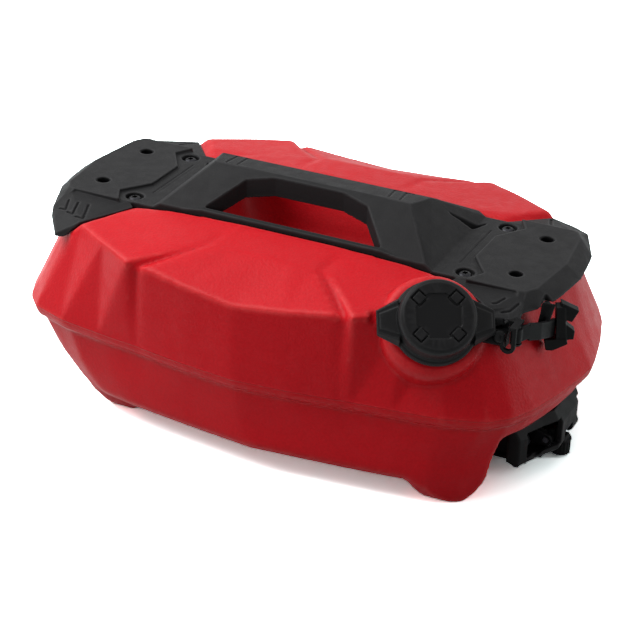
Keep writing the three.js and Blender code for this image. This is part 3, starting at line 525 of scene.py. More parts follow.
def spun(profile, axis, centre, steps):
    """A closed turned body. The profile's points are (radius, height) along the axis."""
    axis = Vector(axis).normalized()
    side = axis.orthogonal().normalized()
    bm = bmesh.new()
    points = [bm.verts.new(Vector(centre) + side * r + axis * h) for r, h in profile]
    edges = [bm.edges.new(pair) for pair in zip(points, points[1:])]
    if profile[0][0] > 1e-9 and profile[-1][0] > 1e-9:
        edges.append(bm.edges.new((points[-1], points[0])))
    bmesh.ops.spin(
        bm,
        geom=points + edges,
        cent=centre,
        axis=axis,
        angle=math.tau,
        steps=steps,
        use_merge=True,
    )
    bmesh.ops.remove_doubles(bm, verts=bm.verts, dist=1e-6)
    bmesh.ops.recalc_face_normals(bm, faces=bm.faces)
    return bm


def prism(outline, low, high, matrix=None):
    """A straight prism on a flat outline, between two heights, placed by a matrix"""
    bm = bmesh.new()
    base = bm.faces.new([bm.verts.new((x, y, low)) for x, y in outline])
    grown = bmesh.ops.extrude_face_region(bm, geom=[base])
    lifted = [v for v in grown["geom"] if isinstance(v, bmesh.types.BMVert)]
    bmesh.ops.translate(bm, vec=(0, 0, high - low), verts=lifted)
    bmesh.ops.recalc_face_normals(bm, faces=bm.faces)
    if matrix is not None:
        bm.transform(matrix)
    return bm


def hull(points):
    """The closed body round some points"""
    bm = bmesh.new()
    verts = [bm.verts.new(p) for p in points]
    made = bmesh.ops.convex_hull(bm, input=verts)
    spare = set(made["geom_interior"]) | set(made["geom_unused"])
    loose = [v for v in spare if isinstance(v, bmesh.types.BMVert)]
    bmesh.ops.delete(bm, geom=loose, context="VERTS")
    bmesh.ops.recalc_face_normals(bm, faces=bm.faces)
    return bm


def box_between(low, high, matrix=None):
    """A block between two corners of a frame"""
    low, high = Vector(low), Vector(high)
    place = Matrix.Translation((low + high) / 2) @ Matrix.Diagonal((*(high - low), 1.0))
    bm = bmesh.new()
    bmesh.ops.create_cube(bm, size=1.0, matrix=place if matrix is None else matrix @ place)
    return bm


def bar(start, end, width, depth, normal):
    """A groove cutter or rib with round ends, lying along a line on a surface"""
    start, end, normal = Vector(start), Vector(end), Vector(normal).normalized()
    along = end - start
    steps = 8
    outline = []
    for middle, first in ((0.0, math.pi / 2), (along.length, -math.pi / 2)):
        for i in range(steps + 1):
            angle = first + math.pi * i / steps
            outline.append((middle + width / 2 * math.cos(angle), width / 2 * math.sin(angle)))
    x = along.normalized()
    y = normal.cross(x).normalized()
    z = x.cross(y)
    place = Matrix((x, y, z)).transposed().to_4x4()
    place.translation = start
    return prism(outline, -depth, depth, place)


# Places that several pieces share

NECK_AZIMUTH = math.radians(30)
NECK_ELEVATION = math.radians(43)
NECK = Vector((0.1532, -0.1183, 0.1551))
NECK_AXIS = Vector(
    (
        math.sin(NECK_AZIMUTH) * math.cos(NECK_ELEVATION),
        -math.cos(NECK_AZIMUTH) * math.cos(NECK_ELEVATION),
        math.sin(NECK_ELEVATION),
    )
)
NECK_RIGHT = Vector((math.cos(NECK_AZIMUTH), math.sin(NECK_AZIMUTH), 0.0))
NECK_UP = NECK_AXIS.cross(NECK_RIGHT)
# The neck's frame: X level to the right, Y up its slope, Z along its axis
NECK_PLACE = Matrix((NECK_RIGHT, NECK_UP, NECK_AXIS)).transposed().to_4x4()
NECK_PLACE.translation = NECK
# Stands a prism up: its outline's Y becomes Z, and its depth runs along -Y
STANDING = Matrix(((1, 0, 0, 0), (0, 0, -1, 0), (0, 1, 0, 0), (0, 0, 0, 1)))
# Lays a prism along X: its outline's X and Y become Y and Z
ALONG_X = Matrix(((0, 0, 1, 0), (1, 0, 0, 0), (0, 1, 0, 0), (0, 0, 0, 1)))


def outside_only(bm):
    """Drops the tank's inside, and floors the neck a little way down its bore"""
    floor_depth, bore, below, above = 0.004, 0.0228, -0.06, 0.03
    cut_at = NECK - NECK_AXIS * floor_depth
    near = [
        f
        for f in bm.faces
        if all((v.co - NECK).cross(NECK_AXIS).length < bore for v in f.verts)
        and all(below < (v.co - NECK).dot(NECK_AXIS) < above for v in f.verts)
    ]
    geom = set(near)
    for f in near:
        geom.update(f.edges)
        geom.update(f.verts)
    cut = bmesh.ops.bisect_plane(
        bm, geom=list(geom), dist=1e-7, plane_co=cut_at, plane_no=NECK_AXIS
    )
    rim = {e for e in cut["geom_cut"] if isinstance(e, bmesh.types.BMEdge)}
    bm.faces.ensure_lookup_table()
    start = max(bm.faces, key=lambda f: f.calc_center_median().z)
    seen = {start}
    front = [start]
    while front:
        face = front.pop()
        for edge in face.edges:
            if edge in rim:
                continue
            for other in edge.link_faces:
                if other not in seen:
                    seen.add(other)
                    front.append(other)
    inside = [f for f in bm.faces if f not in seen]
    bmesh.ops.delete(bm, geom=inside, context="FACES")
    bmesh.ops.holes_fill(bm, edges=[e for e in bm.edges if e.is_boundary], sides=0)
    bmesh.ops.recalc_face_normals(bm, faces=bm.faces)
    if any(not e.is_manifold for e in bm.edges):
        raise RuntimeError("the tank's outside isn't closed")
    return bm


def flank_freedom(place):
    """How freely the tank is rounded: most on its flanks, not at all by its waist or neck"""

    def rising(value, low, high):
        t = np.clip((value - low) / (high - low), 0.0, 1.0)
        return t * t * (3 - 2 * t)

    from_neck = place - np.array(NECK)
    along = from_neck @ np.array(NECK_AXIS)
    aside = np.linalg.norm(from_neck - along[:, None] * np.array(NECK_AXIS), axis=1)
    free = rising(np.abs(place[:, 2] - WAIST + 0.004), 0.010, 0.024)
    free *= 1.0 - 0.7 * rising(place[:, 2], 0.140, 0.156)
    free *= rising(aside, 0.042, 0.056)
    return free * rising(place[:, 2], 0.014, 0.030)


class GASCAN_OT_tank(bpy.types.Operator):
    """Makes the red blow-moulded tank"""

    bl_idname = "gascan.tank"
    bl_label = "Tank"

    def execute(self, context):
        size = moulding()
        tank = object_from("red_tank", outside_only(cad_copy("tank")))
        soften(
            tank, size.tank_cell, size.tank_rounds, keep=0.36,
            freedom=flank_freedom, more=size.flank_rounds,
        )
        settle(tank, "tank", tank_finish())
        return {"FINISHED"}


# Hooked grooves in the wings, from inner end to hook, as places seen from above
LEFT_HOOKS = (
    ((-0.1976, -0.0771), (-0.1935, -0.0886), (-0.1998, -0.0876)),
    ((-0.1873, -0.0785), (-0.1837, -0.0935), (-0.1902, -0.0912)),
    ((-0.1776, -0.0779), (-0.1715, -0.0970), (-0.1794, -0.0960)),
)
RIGHT_HOOKS = (
    ((0.1929, -0.0735), (0.1891, -0.0813), (0.1862, -0.0828)),
    ((0.2045, -0.0745), (0.2010, -0.0843), (0.1956, -0.0876)),
)
# How far the left wings lean out, as Y against Z
WING_LEAN = 0.28
# The twin lines beside the handle's feet, as place along X and half length
LAND_LINES = ((0.1400, 0.035), (0.1362, 0.031))
LAND_TOP = 0.170


def on_surface(obj, x, y):
    """The point of a piece straight under a place, and which way it faces there"""
    bpy.context.view_layer.update()
    found, place, facing, _ = obj.ray_cast((x, y, 0.3), (0.0, 0.0, -1.0))
    if not found:
        raise RuntimeError(f"nothing lies under {x}, {y}")
    return place, facing


def groove(obj, line, width, depth, up=None):
    """Cutters for a groove with round ends that follows a piece's surface"""
    cutters = []
    for a, b in zip(line, line[1:]):
        start, facing = on_surface(obj, *a)
        end, other = on_surface(obj, *b)
        cutters.append(bar(start, end, width, depth, up or facing + other))
    return cutters


def wing_grooves(plate):
    """Cutters for the hooked grooves in the four wings"""
    size = moulding()
    cutters = []
    for hooks, along, across in (
        (LEFT_HOOKS, 1.0, 1.0),
        (RIGHT_HOOKS, 1.0, 1.0),
        (LEFT_HOOKS, 1.0, -1.0),
        (LEFT_HOOKS, -1.0, -1.0),
    ):
        up = None if hooks is RIGHT_HOOKS else (0.0, -WING_LEAN * across, 1.0)
        for hook in hooks:
            line = [(x * along, y * across) for x, y in hook]
            cutters += groove(plate, line, size.groove_width, size.groove_depth, up)
    return cutters


def land_lines():
    """Cutters for the twin lines beside the handle's feet"""
    size = moulding()
    up = Vector((0, 0, 1))
    cutters = []
    for side in (1.0, -1.0):
        for x, reach in LAND_LINES:
            a = Vector((side * x, -reach, LAND_TOP))
            b = Vector((side * x, reach, LAND_TOP))
            cutters.append(bar(a, b, size.line_width, size.line_depth, up))
    return cutters


# The grip's slots seen from above, from the near end to the hook
GRIP_SLOTS = (
    ((-0.0807, -0.0155), (-0.0817, 0.0064), (-0.0778, 0.0069)),
    ((-0.0704, -0.0150), (-0.0722, 0.0070), (-0.0683, 0.0076)),
    ((0.0671, -0.0140), (0.0640, 0.0070), (0.0700, 0.0072)),
    ((0.0776, -0.0150), (0.0745, 0.0070), (0.0810, 0.0070)),
)
GRIP_SLOT_WIDTH = 0.0019
GRIP_SLOT_DEPTH = 0.0013
GRIP_SLOT_UP = (0.0, 0.12, 1.0)
# What levels the grip's top there, as an outline in Y and Z, and where each piece starts
GRIP_FILL = ((-0.0190, 0.2039), (0.0080, 0.2005), (0.0080, 0.1985), (-0.0190, 0.1990))
GRIP_FILL_STARTS = (-0.090, 0.062)
GRIP_FILL_LENGTH = 0.028
# The hollow beside a far foot of the handle, seen from above, and its heights
FOOT_HOLLOW = ((0.105, 0.012), (0.134, 0.051), (0.1255, 0.030))
FOOT_HOLLOW_SPAN = (0.1665, 0.197)


def grip_fills():
    """Bodies that level the grip's top before its slots are cut"""
    return [prism(GRIP_FILL, low, low + GRIP_FILL_LENGTH, ALONG_X) for low in GRIP_FILL_STARTS]


def handle_cutters(plate):
    """Cutters for the grip's slots and the hollows beside its far feet"""
    cutters = []
    for line in GRIP_SLOTS:
        cutters += groove(plate, line, GRIP_SLOT_WIDTH, GRIP_SLOT_DEPTH, GRIP_SLOT_UP)
    for side in (1.0, -1.0):
        outline = [(side * x, y) for x, y in FOOT_HOLLOW]
        cutters.append(prism(outline, *FOOT_HOLLOW_SPAN))
    return cutters


# The corners of the body that fills a wing's corner, and of the wing beside the cap
WING_CORNER = (
    (0.2050, 0.0620, 0.1718),
    (0.2172, 0.0650, 0.1610),
    (0.2172, 0.0650, 0.1570),
    (0.2082, 0.0858, 0.1618),
    (0.2074, 0.0880, 0.1575),
    (0.1980, 0.0800, 0.1655),
    (0.1980, 0.0800, 0.1570),
    (0.2040, 0.0600, 0.1580),
)
WING_BY_CAP = (
    (0.1500, -0.0590, 0.1694),
    (0.2050, -0.0620, 0.1708),
    (0.2082, -0.0858, 0.1618),
    (0.2110, -0.0868, 0.1602),
    (0.1920, -0.0952, 0.1607),
    (0.1500, -0.0590, 0.1640),
    (0.2050, -0.0620, 0.1590),
    (0.2105, -0.0882, 0.1550),
    (0.1905, -0.0968, 0.1550),
    (0.1860, -0.0930, 0.1560),
)
# The room that the wing leaves round the neck, as (radius, height) along the neck's axis
NECK_ROOM = ((0.0, -0.030), (0.0385, -0.030), (0.0385, 0.060), (0.0, 0.060))


def wing_corners():
    """Bodies that carry the plateau's bevel on into the wings, but not beside the strap"""
    return [
        hull([(sx * x, sy * y, z) for x, y, z in WING_CORNER])
        for sx, sy in ((-1.0, -1.0), (-1.0, 1.0), (1.0, 1.0))
    ]


def as_tool(obj):
    """Takes an object's mesh back as a tool, and drops the object"""
    bm = bmesh.new()
    bm.from_mesh(obj.data)
    mesh = obj.data
    bpy.data.objects.remove(obj)
    bpy.data.meshes.remove(mesh)
    return bm


def wing_by_cap():
    """The wing beside the cap, cut back in an arc round the neck"""
    wing = object_from("wing", hull(WING_BY_CAP))
    return as_tool(carve(wing, [spun(NECK_ROOM, NECK_AXIS, NECK, 96)]))


def around(x, y, radius, low, high, steps=40):
    """A round plug standing at a place"""
    half = (high - low) / 2
    profile = [(0.0, -half), (radius, -half), (radius, half), (0.0, half)]
    return spun(profile, (0, 0, 1), (x, y, (high + low) / 2), steps)


def middle_of(node):
    low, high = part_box(node)
    return (low + high) / 2


# The pads round the anchor holes, as radius and heights, and the heights of the hole cutters
ANCHOR_PAD = (0.0085, 0.1655, 0.17255)
HOLE_SPAN = (0.150, 0.180)
COUNTERBORE_SPAN = (0.1650, 0.180)


class GASCAN_OT_plate(bpy.types.Operator):
    """Makes the moulded carry plate with its grip"""

    bl_idname = "gascan.plate"
    bl_label = "Carry plate"

    def execute(self, context):
        size = moulding()
        plate = object_from("top_plate", cad_copy("carry_plate"))
        carve(plate, [*wing_corners(), wing_by_cap(), *grip_fills()], "UNION")
        carve(plate, wing_grooves(plate) + land_lines() + handle_cutters(plate))
        anchors = [middle_of(f"anchor_bush_{i}") for i in range(1, 5)]
        carve(plate, [around(p.x, p.y, *ANCHOR_PAD) for p in anchors], "UNION")
        cutters = [around(p.x, p.y, size.hole_radius, *HOLE_SPAN) for p in anchors]
        for i in range(1, 5):
            p = middle_of(f"plate_screw_{i}")
            cutters.append(around(p.x, p.y, size.counterbore, *COUNTERBORE_SPAN))
        carve(plate, cutters)
        soften(plate, size.plate_cell, size.plate_rounds, keep=0.25)
        settle(plate, "carry_plate", finish("plate_charcoal"), reach=0.003)
        return {"FINISHED"}


def star(radius, depth, lobes=6):
    """The outline of a six-lobed socket"""
    outline = []
    for i in range(lobes * 6):
        angle = math.tau * i / (lobes * 6)
        reach = radius - depth / 2 + depth / 2 * math.cos(lobes * angle)
        outline.append((reach * math.cos(angle), reach * math.sin(angle)))
    return outline


def screw_mesh(name, node, axis, head_height):
    """A button-head screw in the place of its CAD node, along the axis"""
    low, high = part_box(node)
    centre = (low + high) / 2
    half = (high - low) / 2
    top = abs(axis.dot(half))
    head = max(abs(v) for v in half.cross(axis))
    shank = head * 0.52
    profile = [
        (0.0, -top),
        (shank * 0.8, -top),
        (shank, -top + 0.0008),
        (shank, top - head_height),
        (head, top - head_height),
        (head, top - head_height * 0.72),
        (head * 0.93, top - head_height * 0.42),
        (head * 0.78, top - head_height * 0.16),
        (head * 0.55, top - head_height * 0.02),
        (0.0, top),
    ]
    made = object_from(name, spun(profile, axis, centre, 40))
    turn = Vector((0, 0, 1)).rotation_difference(axis).to_matrix().to_4x4()
    turn.translation = centre + axis * top
    socket = prism(star(head * 0.46, head * 0.13), -head_height * 0.62, 0.002, turn)
    carve(made, [socket])
    return made


# The anchor cups, as (radius, height) above the ground
CUP_PROFILE = (
    (0.0, 0.1638),
    (0.0060, 0.1638),
    (0.0060, 0.1721),
    (0.0057, 0.1724),
    (0.0053, 0.1720),
    (0.0051, 0.1715),
    (0.0051, 0.1650),
    (0.0, 0.1650),
)


class GASCAN_OT_screws(bpy.types.Operator):
    """Makes the plate's screws, the inserts under them and the bushes"""

    bl_idname = "gascan.screws"
    bl_label = "Screws, inserts and bushes"

    def execute(self, context):
        up = Vector((0, 0, 1))
        for i in range(1, 5):
            node = f"plate_screw_{i}"
            screw = screw_mesh(f"button_screw_{i}", node, up, head_height=0.0034)
            settle(screw, node, finish("screw_steel"), angle=35, reach=0.002)
            node = f"screw_insert_{i}"
            insert = object_from(f"brass_insert_{i}", bevelled(cad_copy(node), 0.0003))
            settle(insert, node, finish("insert_brass"), angle=30, reach=0.001)
            node = f"anchor_bush_{i}"
            p = middle_of(node)
            bush = object_from(f"anchor_cup_{i}", spun(CUP_PROFILE, up, (p.x, p.y, 0.0), 48))
            settle(bush, node, finish("rubber_black"), angle=30, reach=0.001)
        return {"FINISHED"}


# The cap's outside, as (radius, height) along the neck's axis
CAP_PROFILE = (
    (0.0, 0.0036),
    (0.0336, 0.0036),
    (0.0336, 0.0068),
    (0.0327, 0.0078),
    (0.0310, 0.0085),
    (0.0303, 0.0100),
    (0.0300, 0.0224),
    (0.0289, 0.0245),
    (0.0262, 0.0261),
    (0.0, 0.0264),
)
CAP_HOLLOW = ((0.0, 0.0020), (0.0282, 0.0020), (0.0282, 0.0232), (0.0, 0.0232))
# The eight-sided dish in its top, as radius and heights, and its four framed tabs as boxes
CAP_DISH = 0.0190
CAP_DISH_SPAN = (0.0250, 0.030)
TAB_FRAME = ((0.0152, -0.0050, 0.0243), (0.0249, 0.0050, 0.030))
TAB = ((0.0165, -0.0037, 0.0230), (0.0236, 0.0037, 0.0264))
# The layers of a grip wing: half width at its root and tip, reach, and its heights
GRIP_WING_LAYERS = (
    (0.0190, 0.0100, 0.0450, 0.0066, 0.0142, 0.0108),
    (0.0130, 0.0070, 0.0428, 0.0100, 0.0152, 0.0118),
)
GRIP_WING_ROOT = 0.0285
GRIP_WING_TAPER = 0.84


def cap_wings():
    """The two grip wings, each with a raised panel"""
    wings = []
    for side in (1.0, -1.0):
        for root, tip, reach, low, high, tip_high in GRIP_WING_LAYERS:
            points = []
            for across in (1.0, -1.0):
                points += [
                    (side * GRIP_WING_ROOT, across * root, low),
                    (side * GRIP_WING_ROOT, across * root * GRIP_WING_TAPER, high),
                    (side * reach, across * tip, low),
                    (side * reach, across * tip * GRIP_WING_TAPER, tip_high),
                ]
            wings.append(hull([NECK_PLACE @ Vector(p) for p in points]))
    return wings


class GASCAN_OT_cap(bpy.types.Operator):
    """Makes the winged cap, its threaded core, its gasket and its tether"""

    bl_idname = "gascan.cap"
    bl_label = "Cap and tether"

    def execute(self, context):
        cap = object_from("winged_cap", spun(CAP_PROFILE, NECK_AXIS, NECK, 96))
        carve(cap, cap_wings(), "UNION")
        corners = [math.radians(22.5 + 45 * i) for i in range(8)]
        octagon = [(CAP_DISH * math.cos(a), CAP_DISH * math.sin(a)) for a in corners]
        quarters = [
            NECK_PLACE @ Matrix.Rotation(math.radians(45 + 90 * i), 4, "Z") for i in range(4)
        ]
        cutters = [
            prism(octagon, *CAP_DISH_SPAN, NECK_PLACE),
            spun(CAP_HOLLOW, NECK_AXIS, NECK, 64),
        ]
        cutters += [box_between(*TAB_FRAME, turn) for turn in quarters]
        carve(cap, cutters)
        carve(cap, [box_between(*TAB, turn) for turn in quarters], "UNION")
        soften(cap, 0.0005, rounds=2, keep=0.4)
        settle(cap, "cap_shell", finish("cap_black"), reach=0.003)
        core = object_from("thread_core", bevelled(cad_copy("cap_core"), 0.0004))
        settle(core, "cap_core", finish("cap_black"), angle=30, reach=0.001)
        seal = object_from("seal_ring", bevelled(cad_copy("cap_gasket"), 0.0006, segments=3))
        settle(seal, "cap_gasket", finish("rubber_black"), angle=30, reach=0.001)
        tether = object_from("tether_ring", cad_copy("cap_tether"))
        soften(tether, 0.0006, rounds=3, keep=0.5)
        settle(tether, "cap_tether", finish("rubber_black"), reach=0.002)
        peg = object_from("tether_stud", bevelled(cad_copy("tether_peg"), 0.0005, segments=3))
        settle(peg, "tether_peg", finish("cap_black"), angle=30, reach=0.001)
        return {"FINISHED"}


def hook_loop():
    """The loop that hangs from the wing's corner, as a bent bar of even width"""
    wide, narrow, middle, bend = 0.0062, 0.0030, 0.2080, 0.1445
    short_top, long_top = 0.1530, 0.1610
    outline = [(middle - wide, short_top), (middle - wide, bend)]
    steps = 12
    for i in range(1, steps):
        angle = math.pi + math.pi * i / steps
        outline.append((middle + wide * math.cos(angle), bend + wide * math.sin(angle)))
    outline += [(middle + wide, bend), (middle + wide, long_top), (middle + narrow, long_top)]
    outline.append((middle + narrow, bend))
    for i in range(1, steps):
        angle = -math.pi * i / steps
        outline.append((middle + narrow * math.cos(angle), bend + narrow * math.sin(angle)))
    outline += [(middle - narrow, bend), (middle - narrow, short_top)]
    return prism(outline, 0.1018, 0.1055, STANDING)


# What is cut off the solid's lug, and what joins it to the loop under the wing, as boxes
LUG_SPARE = (
    ((0.180, -0.115, 0.130), (0.230, -0.0955, 0.160)),
    ((0.2040, -0.115, 0.130), (0.230, -0.080, 0.160)),
)
LUG_ARMS = (
    ((0.2084, -0.1055, 0.1584), (0.2142, -0.0865, 0.1610)),
    ((0.1985, -0.0925, 0.1560), (0.2090, -0.0868, 0.1606)),
    ((0.1985, -0.0925, 0.1480), (0.2040, -0.0868, 0.1600)),
)
# The top that is cut off the solid's catch
CATCH_SPARE = ((0.210, -0.065, 0.1620), (0.230, -0.040, 0.172))
# The strap's eye and its post, as (radius, height above the ground)
EYE_PROFILE = ((0.0034, 0.1464), (0.0046, 0.1464), (0.0046, 0.1580), (0.0034, 0.1580))
POST_PROFILE = (
    (0.0, 0.1438),
    (0.0040, 0.1438),
    (0.0046, 0.1444),
    (0.0046, 0.1454),
    (0.0030, 0.1459),
    (0.0030, 0.1600),
    (0.0, 0.1600),
)
# The strap seen from above, from its eye out to the grip
STRAP_ROOT = (
    (0.2105, -0.0945),
    (0.2120, -0.0915),
    (0.2170, -0.0865),
    (0.2186, -0.0830),
    (0.2213, -0.0847),
    (0.2196, -0.0886),
    (0.2160, -0.0960),
)
STRAP_BAND = (
    (0.2170, -0.0865),
    (0.2224, -0.0750),
    (0.2252, -0.0620),
    (0.2252, -0.0500),
    (0.2282, -0.0500),
    (0.2282, -0.0620),
    (0.2252, -0.0763),
    (0.2196, -0.0886),
)
STRAP_ROOT_SPAN = (0.1464, 0.1580)
STRAP_BAND_SPAN = (0.1442, 0.1590)
# How the band's height changes with Y, and the Y where it leaves the root
STRAP_DROOP = -0.27
STRAP_DROOP_FROM = -0.0865
# The flat tab that rises from the band to the plateau's edge
STRAP_TAB = (
    (0.2185, -0.0655, 0.1500),
    (0.2262, -0.0610, 0.1500),
    (0.2185, -0.0675, 0.1500),
    (0.2262, -0.0632, 0.1500),
    (0.2200, -0.0618, 0.1662),
    (0.2300, -0.0606, 0.1662),
    (0.2200, -0.0638, 0.1672),
    (0.2300, -0.0626, 0.1672),
)
# The grip's column and fins with their half depths, in its own frame: to the right, and up
GRIP_ORIGIN = Vector((0.229, -0.048, 0.146))
GRIP_TURN = math.radians(24.4)
GRIP_SHAPES = (
    (((-0.0030, 0.0139), (0.0042, 0.0141), (0.0076, -0.0158), (-0.0009, -0.0158)), 0.0055),
    (((0.0007, 0.0179), (0.0152, 0.0112), (0.0104, 0.0014), (0.0030, 0.0036)), 0.0045),
    (((0.0038, 0.0011), (0.0135, -0.0064), (0.0130, -0.0135), (0.0045, -0.0147)), 0.0045),
    (
        (
            (-0.0100, -0.0140),
            (0.0074, -0.0128),
            (0.0086, -0.0172),
            (-0.0030, -0.0235),
            (-0.0083, -0.0230),
        ),
        0.0060,
    ),
)


class GASCAN_OT_strap(bpy.types.Operator):
    """Makes the rubber hold strap with its bracket, post, grip and catch"""

    bl_idname = "gascan.strap"
    bl_label = "Hold strap"

    def execute(self, context):
        lug = object_from("strap_lug", cad_copy("strap_bracket"))
        carve(lug, [box_between(*corners) for corners in LUG_SPARE])
        arms = [box_between(*corners) for corners in LUG_ARMS]
        carve(lug, [hook_loop(), *arms], "UNION")
        soften(lug, 0.0006, rounds=2, keep=0.5)
        settle(lug, "strap_bracket", finish("latch_black"), reach=0.002)
        post_at = middle_of("strap_post")
        middle = (post_at.x, post_at.y, 0.0)
        strap = object_from("rubber_strap", spun(EYE_PROFILE, (0, 0, 1), middle, 40))
        droop = Matrix.Identity(4)
        droop[2][1] = STRAP_DROOP
        droop[2][3] = -STRAP_DROOP * STRAP_DROOP_FROM
        root = prism(STRAP_ROOT, *STRAP_ROOT_SPAN)
        band = prism(STRAP_BAND, *STRAP_BAND_SPAN, droop)
        carve(strap, [root, band, hull(STRAP_TAB)], "UNION")
        soften(strap, 0.0006, rounds=2, keep=0.6)
        settle(strap, "hold_strap", finish("rubber_black"), reach=0.002)
        turn = Matrix.Translation(GRIP_ORIGIN) @ Matrix.Rotation(GRIP_TURN, 4, "Z")
        shapes = [prism(outline, -half, half, turn @ STANDING) for outline, half in GRIP_SHAPES]
        grip = object_from("finned_grip", shapes[0])
        carve(grip, shapes[1:], "UNION")
        soften(grip, 0.0006, rounds=3, keep=0.6)
        settle(grip, "strap_grip", finish("rubber_black"), reach=0.002)
        nose = object_from("strap_nose", cad_copy("strap_catch"))
        carve(nose, [box_between(*CATCH_SPARE)])
        soften(nose, 0.0006, rounds=3, keep=0.6)
        settle(nose, "strap_catch", finish("plate_charcoal"), reach=0.002)
        post = object_from("strap_stud", spun(POST_PROFILE, (0, 0, 1), middle, 40))
        settle(post, "strap_post", finish("cap_black"), angle=30, reach=0.001)
        return {"FINISHED"}


# The tray under the claws of the latch, as boxes at the right end and turned for the left:
# a dark sheet that stands in for the shade under the lever
SHADE_TRAY = (
    ((0.1800, -0.0500, 0.0120), (0.2150, 0.0500, 0.0145)),
    ((0.2100, -0.0350, 0.0120), (0.2230, -0.0110, 0.0145)),
    ((0.2100, 0.0110, 0.0120), (0.2230, 0.0350, 0.0145)),
)


class GASCAN_OT_latches(bpy.types.Operator):
    """Makes the latch at each end"""

    bl_idname = "gascan.latches"
    bl_label = "End latches"

    def execute(self, context):
        for end, side in ENDS:
            for name, node, material, slot, cell in (
                ("back_plate", "latch_base", "latch_black", "moulding", 0.0009),
                ("lever", "latch_lever", "latch_black", "moulding", 0.0008),
                ("claw", "latch_hook", "pin_steel", "steel", 0.0006),
                ("knurled_knob", "latch_knob", "latch_black", "moulding", 0.0005),
            ):
                piece = object_from(f"{end}_{name}", cad_copy(f"{end}_{node}"))
                if name == "back_plate":
                    # The back plate takes the tray, a dark sheet of painted shade under the lever
                    turn = Matrix.Diagonal((side, side, 1.0, 1.0))
                    carve(piece, [box_between(*corners, turn) for corners in SHADE_TRAY], "UNION")
                soften(piece, cell, rounds=3, keep=0.5)
                settle(piece, f"{end}_{node}", finish(material), reach=0.002)
            for name, node in (
                ("lever_rod", "lever_pin"),
                ("claw_rod", "hook_pin"),
                ("coil", "lever_spring"),
            ):
                piece = object_from(f"{end}_{name}", cad_copy(f"{end}_{node}"))
                settle(piece, f"{end}_{node}", finish("pin_steel"), angle=40, reach=0.001)
            for i in (1, 2):
                axis = Vector((side, 0, 0))
                node = f"{end}_base_screw_{i}"
                screw = screw_mesh(f"{end}_button_screw_{i}", node, axis, head_height=0.003)
                settle(screw, node, finish("screw_steel"), angle=35, reach=0.002)
        return {"FINISHED"}


# Stage

# The lights: name, place, size in metres and power in watts. All face the same point.
LIGHTS = (
    ("key", (-1.05, -0.25, 1.35), (1.3, 1.3), 28.0),
    ("overhead", (0.2, 0.2, 1.7), (1.2, 1.0), 3.0),
    ("front", (-0.7, -1.9, 0.7), (1.2, 0.8), 7.0),
    ("right_strip", (1.6, 0.6, 0.6), (0.5, 1.2), 6.5),
)
LIT_POINT = (0.0, 0.0, 0.08)
# How much brighter than its colour the lens sees the floor, and the glossy faces' share of it
FLOOR_GAIN = (4.2, 4.6, 4.6)
GLOSSY_SHARE = 0.35
FLOOR_REACH = 6.0
# The background's strength as light, against 1 where it is looked at
AIR_LIGHT = 0.22
LENS_PLACE = Vector((0.5945, -1.2999, 0.8033))
LENS_AIM = Vector((0.0856, -0.1793, 0.170))
LENS_ROLL = math.radians(2.18)
LENS_LENGTH = 104.85


def area_light(name, place, size, power):
    data = bpy.data.lights.new(name, "AREA")
    data.shape = "RECTANGLE"
    data.size, data.size_y = size
    data.energy = power
    made = bpy.data.objects.new(name, data)
    made.location = place
    aim = Vector(LIT_POINT) - Vector(place)
    made.rotation_euler = aim.to_track_quat("-Z", "Y").to_euler()
    bpy.context.scene.collection.objects.link(made)


def floor_paint():
    """Paint that the lens sees as white, but that gives little light back to the can"""
    paint = bpy.data.materials.new("studio_floor")
    paint.use_nodes = True
    tree = paint.node_tree
    shader = tree.nodes["Principled BSDF"]
    shader.inputs["Roughness"].default_value = 0.9
    shader.inputs["Specular IOR Level"].default_value = 0.0
    rays = tree.nodes.new("ShaderNodeLightPath")
    glossy = math_node(tree, "MULTIPLY", rays.outputs["Is Glossy Ray"], GLOSSY_SHARE)
    seen = math_node(tree, "ADD", rays.outputs["Is Camera Ray"], glossy)
    lit = tuple(gain * v for gain, v in zip(FLOOR_GAIN, colours().floor))
    shade = mix_node(tree, seen, tuple(colours().floor_bounce), lit)
    link(tree, shade, shader.inputs["Base Color"])
    return paint


def seen_plainly(tree):
    """1 where the lens, or a glossy or clear face, looks straight at it"""
    rays = tree.nodes.new("ShaderNodeLightPath")
    seen = math_node(tree, "MAXIMUM", rays.outputs["Is Camera Ray"], rays.outputs["Is Glossy Ray"])
    return math_node(tree, "MAXIMUM", seen, rays.outputs["Is Transmission Ray"])


def studio_air():
    """White where it is looked at, and weak as a light"""
    world = bpy.data.worlds.new("studio_air")
    world.use_nodes = True
    tree = world.node_tree
    air = tree.nodes["Background"]
    air.inputs["Color"].default_value = (1, 1, 1, 1)
    level = tree.nodes.new("ShaderNodeMapRange")
    level.inputs["To Min"].default_value = AIR_LIGHT
    level.inputs["To Max"].default_value = 1.0
    link(tree, seen_plainly(tree), level.inputs["Value"])
    link(tree, level.outputs["Result"], air.inputs["Strength"])
    return world


def camera_lens():
    data = bpy.data.cameras.new("lens")
    data.sensor_width = 36.0
    data.lens = LENS_LENGTH
    camera = bpy.data.objects.new("lens", data)
    camera.location = LENS_PLACE
    aim = (LENS_AIM - LENS_PLACE).to_track_quat("-Z", "Y")
    roll = Matrix.Rotation(LENS_ROLL, 3, "Z")
    camera.rotation_euler = (aim.to_matrix() @ roll).to_euler()
    bpy.context.scene.collection.objects.link(camera)
    return camera


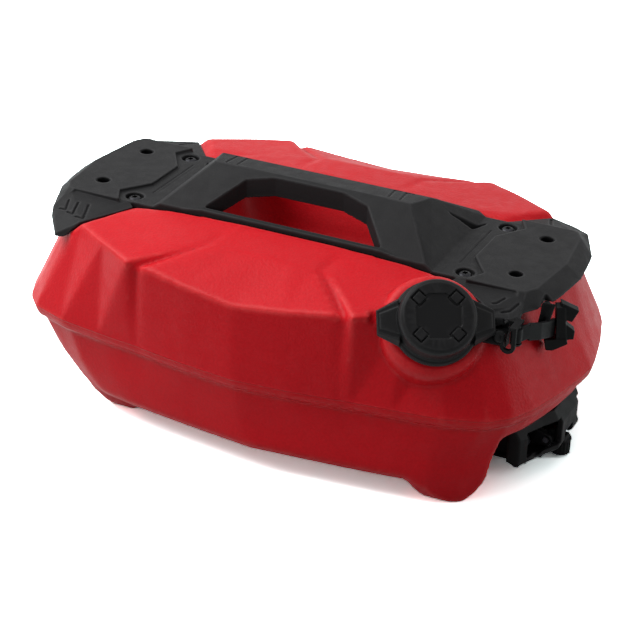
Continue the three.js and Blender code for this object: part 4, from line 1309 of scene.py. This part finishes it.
class GASCAN_OT_stage(bpy.types.Operator):
    """Sets the floor, the lights, the background and the camera"""

    bl_idname = "gascan.stage"
    bl_label = "Stage"

    def execute(self, context):
        scene = context.scene
        scene.view_settings.view_transform = "Standard"
        bm = bmesh.new()
        bmesh.ops.create_grid(bm, x_segments=8, y_segments=8, size=FLOOR_REACH)
        floor = object_from("studio_floor", bm)
        floor.data.materials.append(floor_paint())
        scene.world = studio_air()
        for name, place, size, power in LIGHTS:
            area_light(name, place, size, power)
        scene.camera = camera_lens()
        return {"FINISHED"}


OPERATORS = (
    GASCAN_OT_tank,
    GASCAN_OT_plate,
    GASCAN_OT_screws,
    GASCAN_OT_cap,
    GASCAN_OT_strap,
    GASCAN_OT_latches,
    GASCAN_OT_stage,
)


class GASCAN_PT_panel(bpy.types.Panel):
    """Lists the gas can's sizes, colours and pieces"""

    bl_idname = "GASCAN_PT_panel"
    bl_label = "Gas Can"
    bl_space_type = "VIEW_3D"
    bl_region_type = "UI"
    bl_category = "Gas Can"

    def draw(self, context):
        for group in (context.scene.gas_can_moulding, context.scene.gas_can_colours):
            box = self.layout.box()
            for key in group.bl_rna.properties.keys():
                if key not in ("rna_type", "name"):
                    box.prop(group, key)
        for operator in OPERATORS:
            self.layout.operator(operator.bl_idname)


CLASSES = (GasCanMoulding, GasCanColours, *OPERATORS, GASCAN_PT_panel)


def register():
    for cls in CLASSES:
        bpy.utils.register_class(cls)
    bpy.types.Scene.gas_can_moulding = PointerProperty(type=GasCanMoulding)
    bpy.types.Scene.gas_can_colours = PointerProperty(type=GasCanColours)


def unregister():
    del bpy.types.Scene.gas_can_colours
    del bpy.types.Scene.gas_can_moulding
    for cls in reversed(CLASSES):
        bpy.utils.unregister_class(cls)


def main():
    register()
    bpy.ops.gascan.tank()
    bpy.ops.gascan.plate()
    bpy.ops.gascan.screws()
    bpy.ops.gascan.cap()
    bpy.ops.gascan.strap()
    bpy.ops.gascan.latches()
    bpy.ops.gascan.stage()


if __name__ == "__main__":
    main()
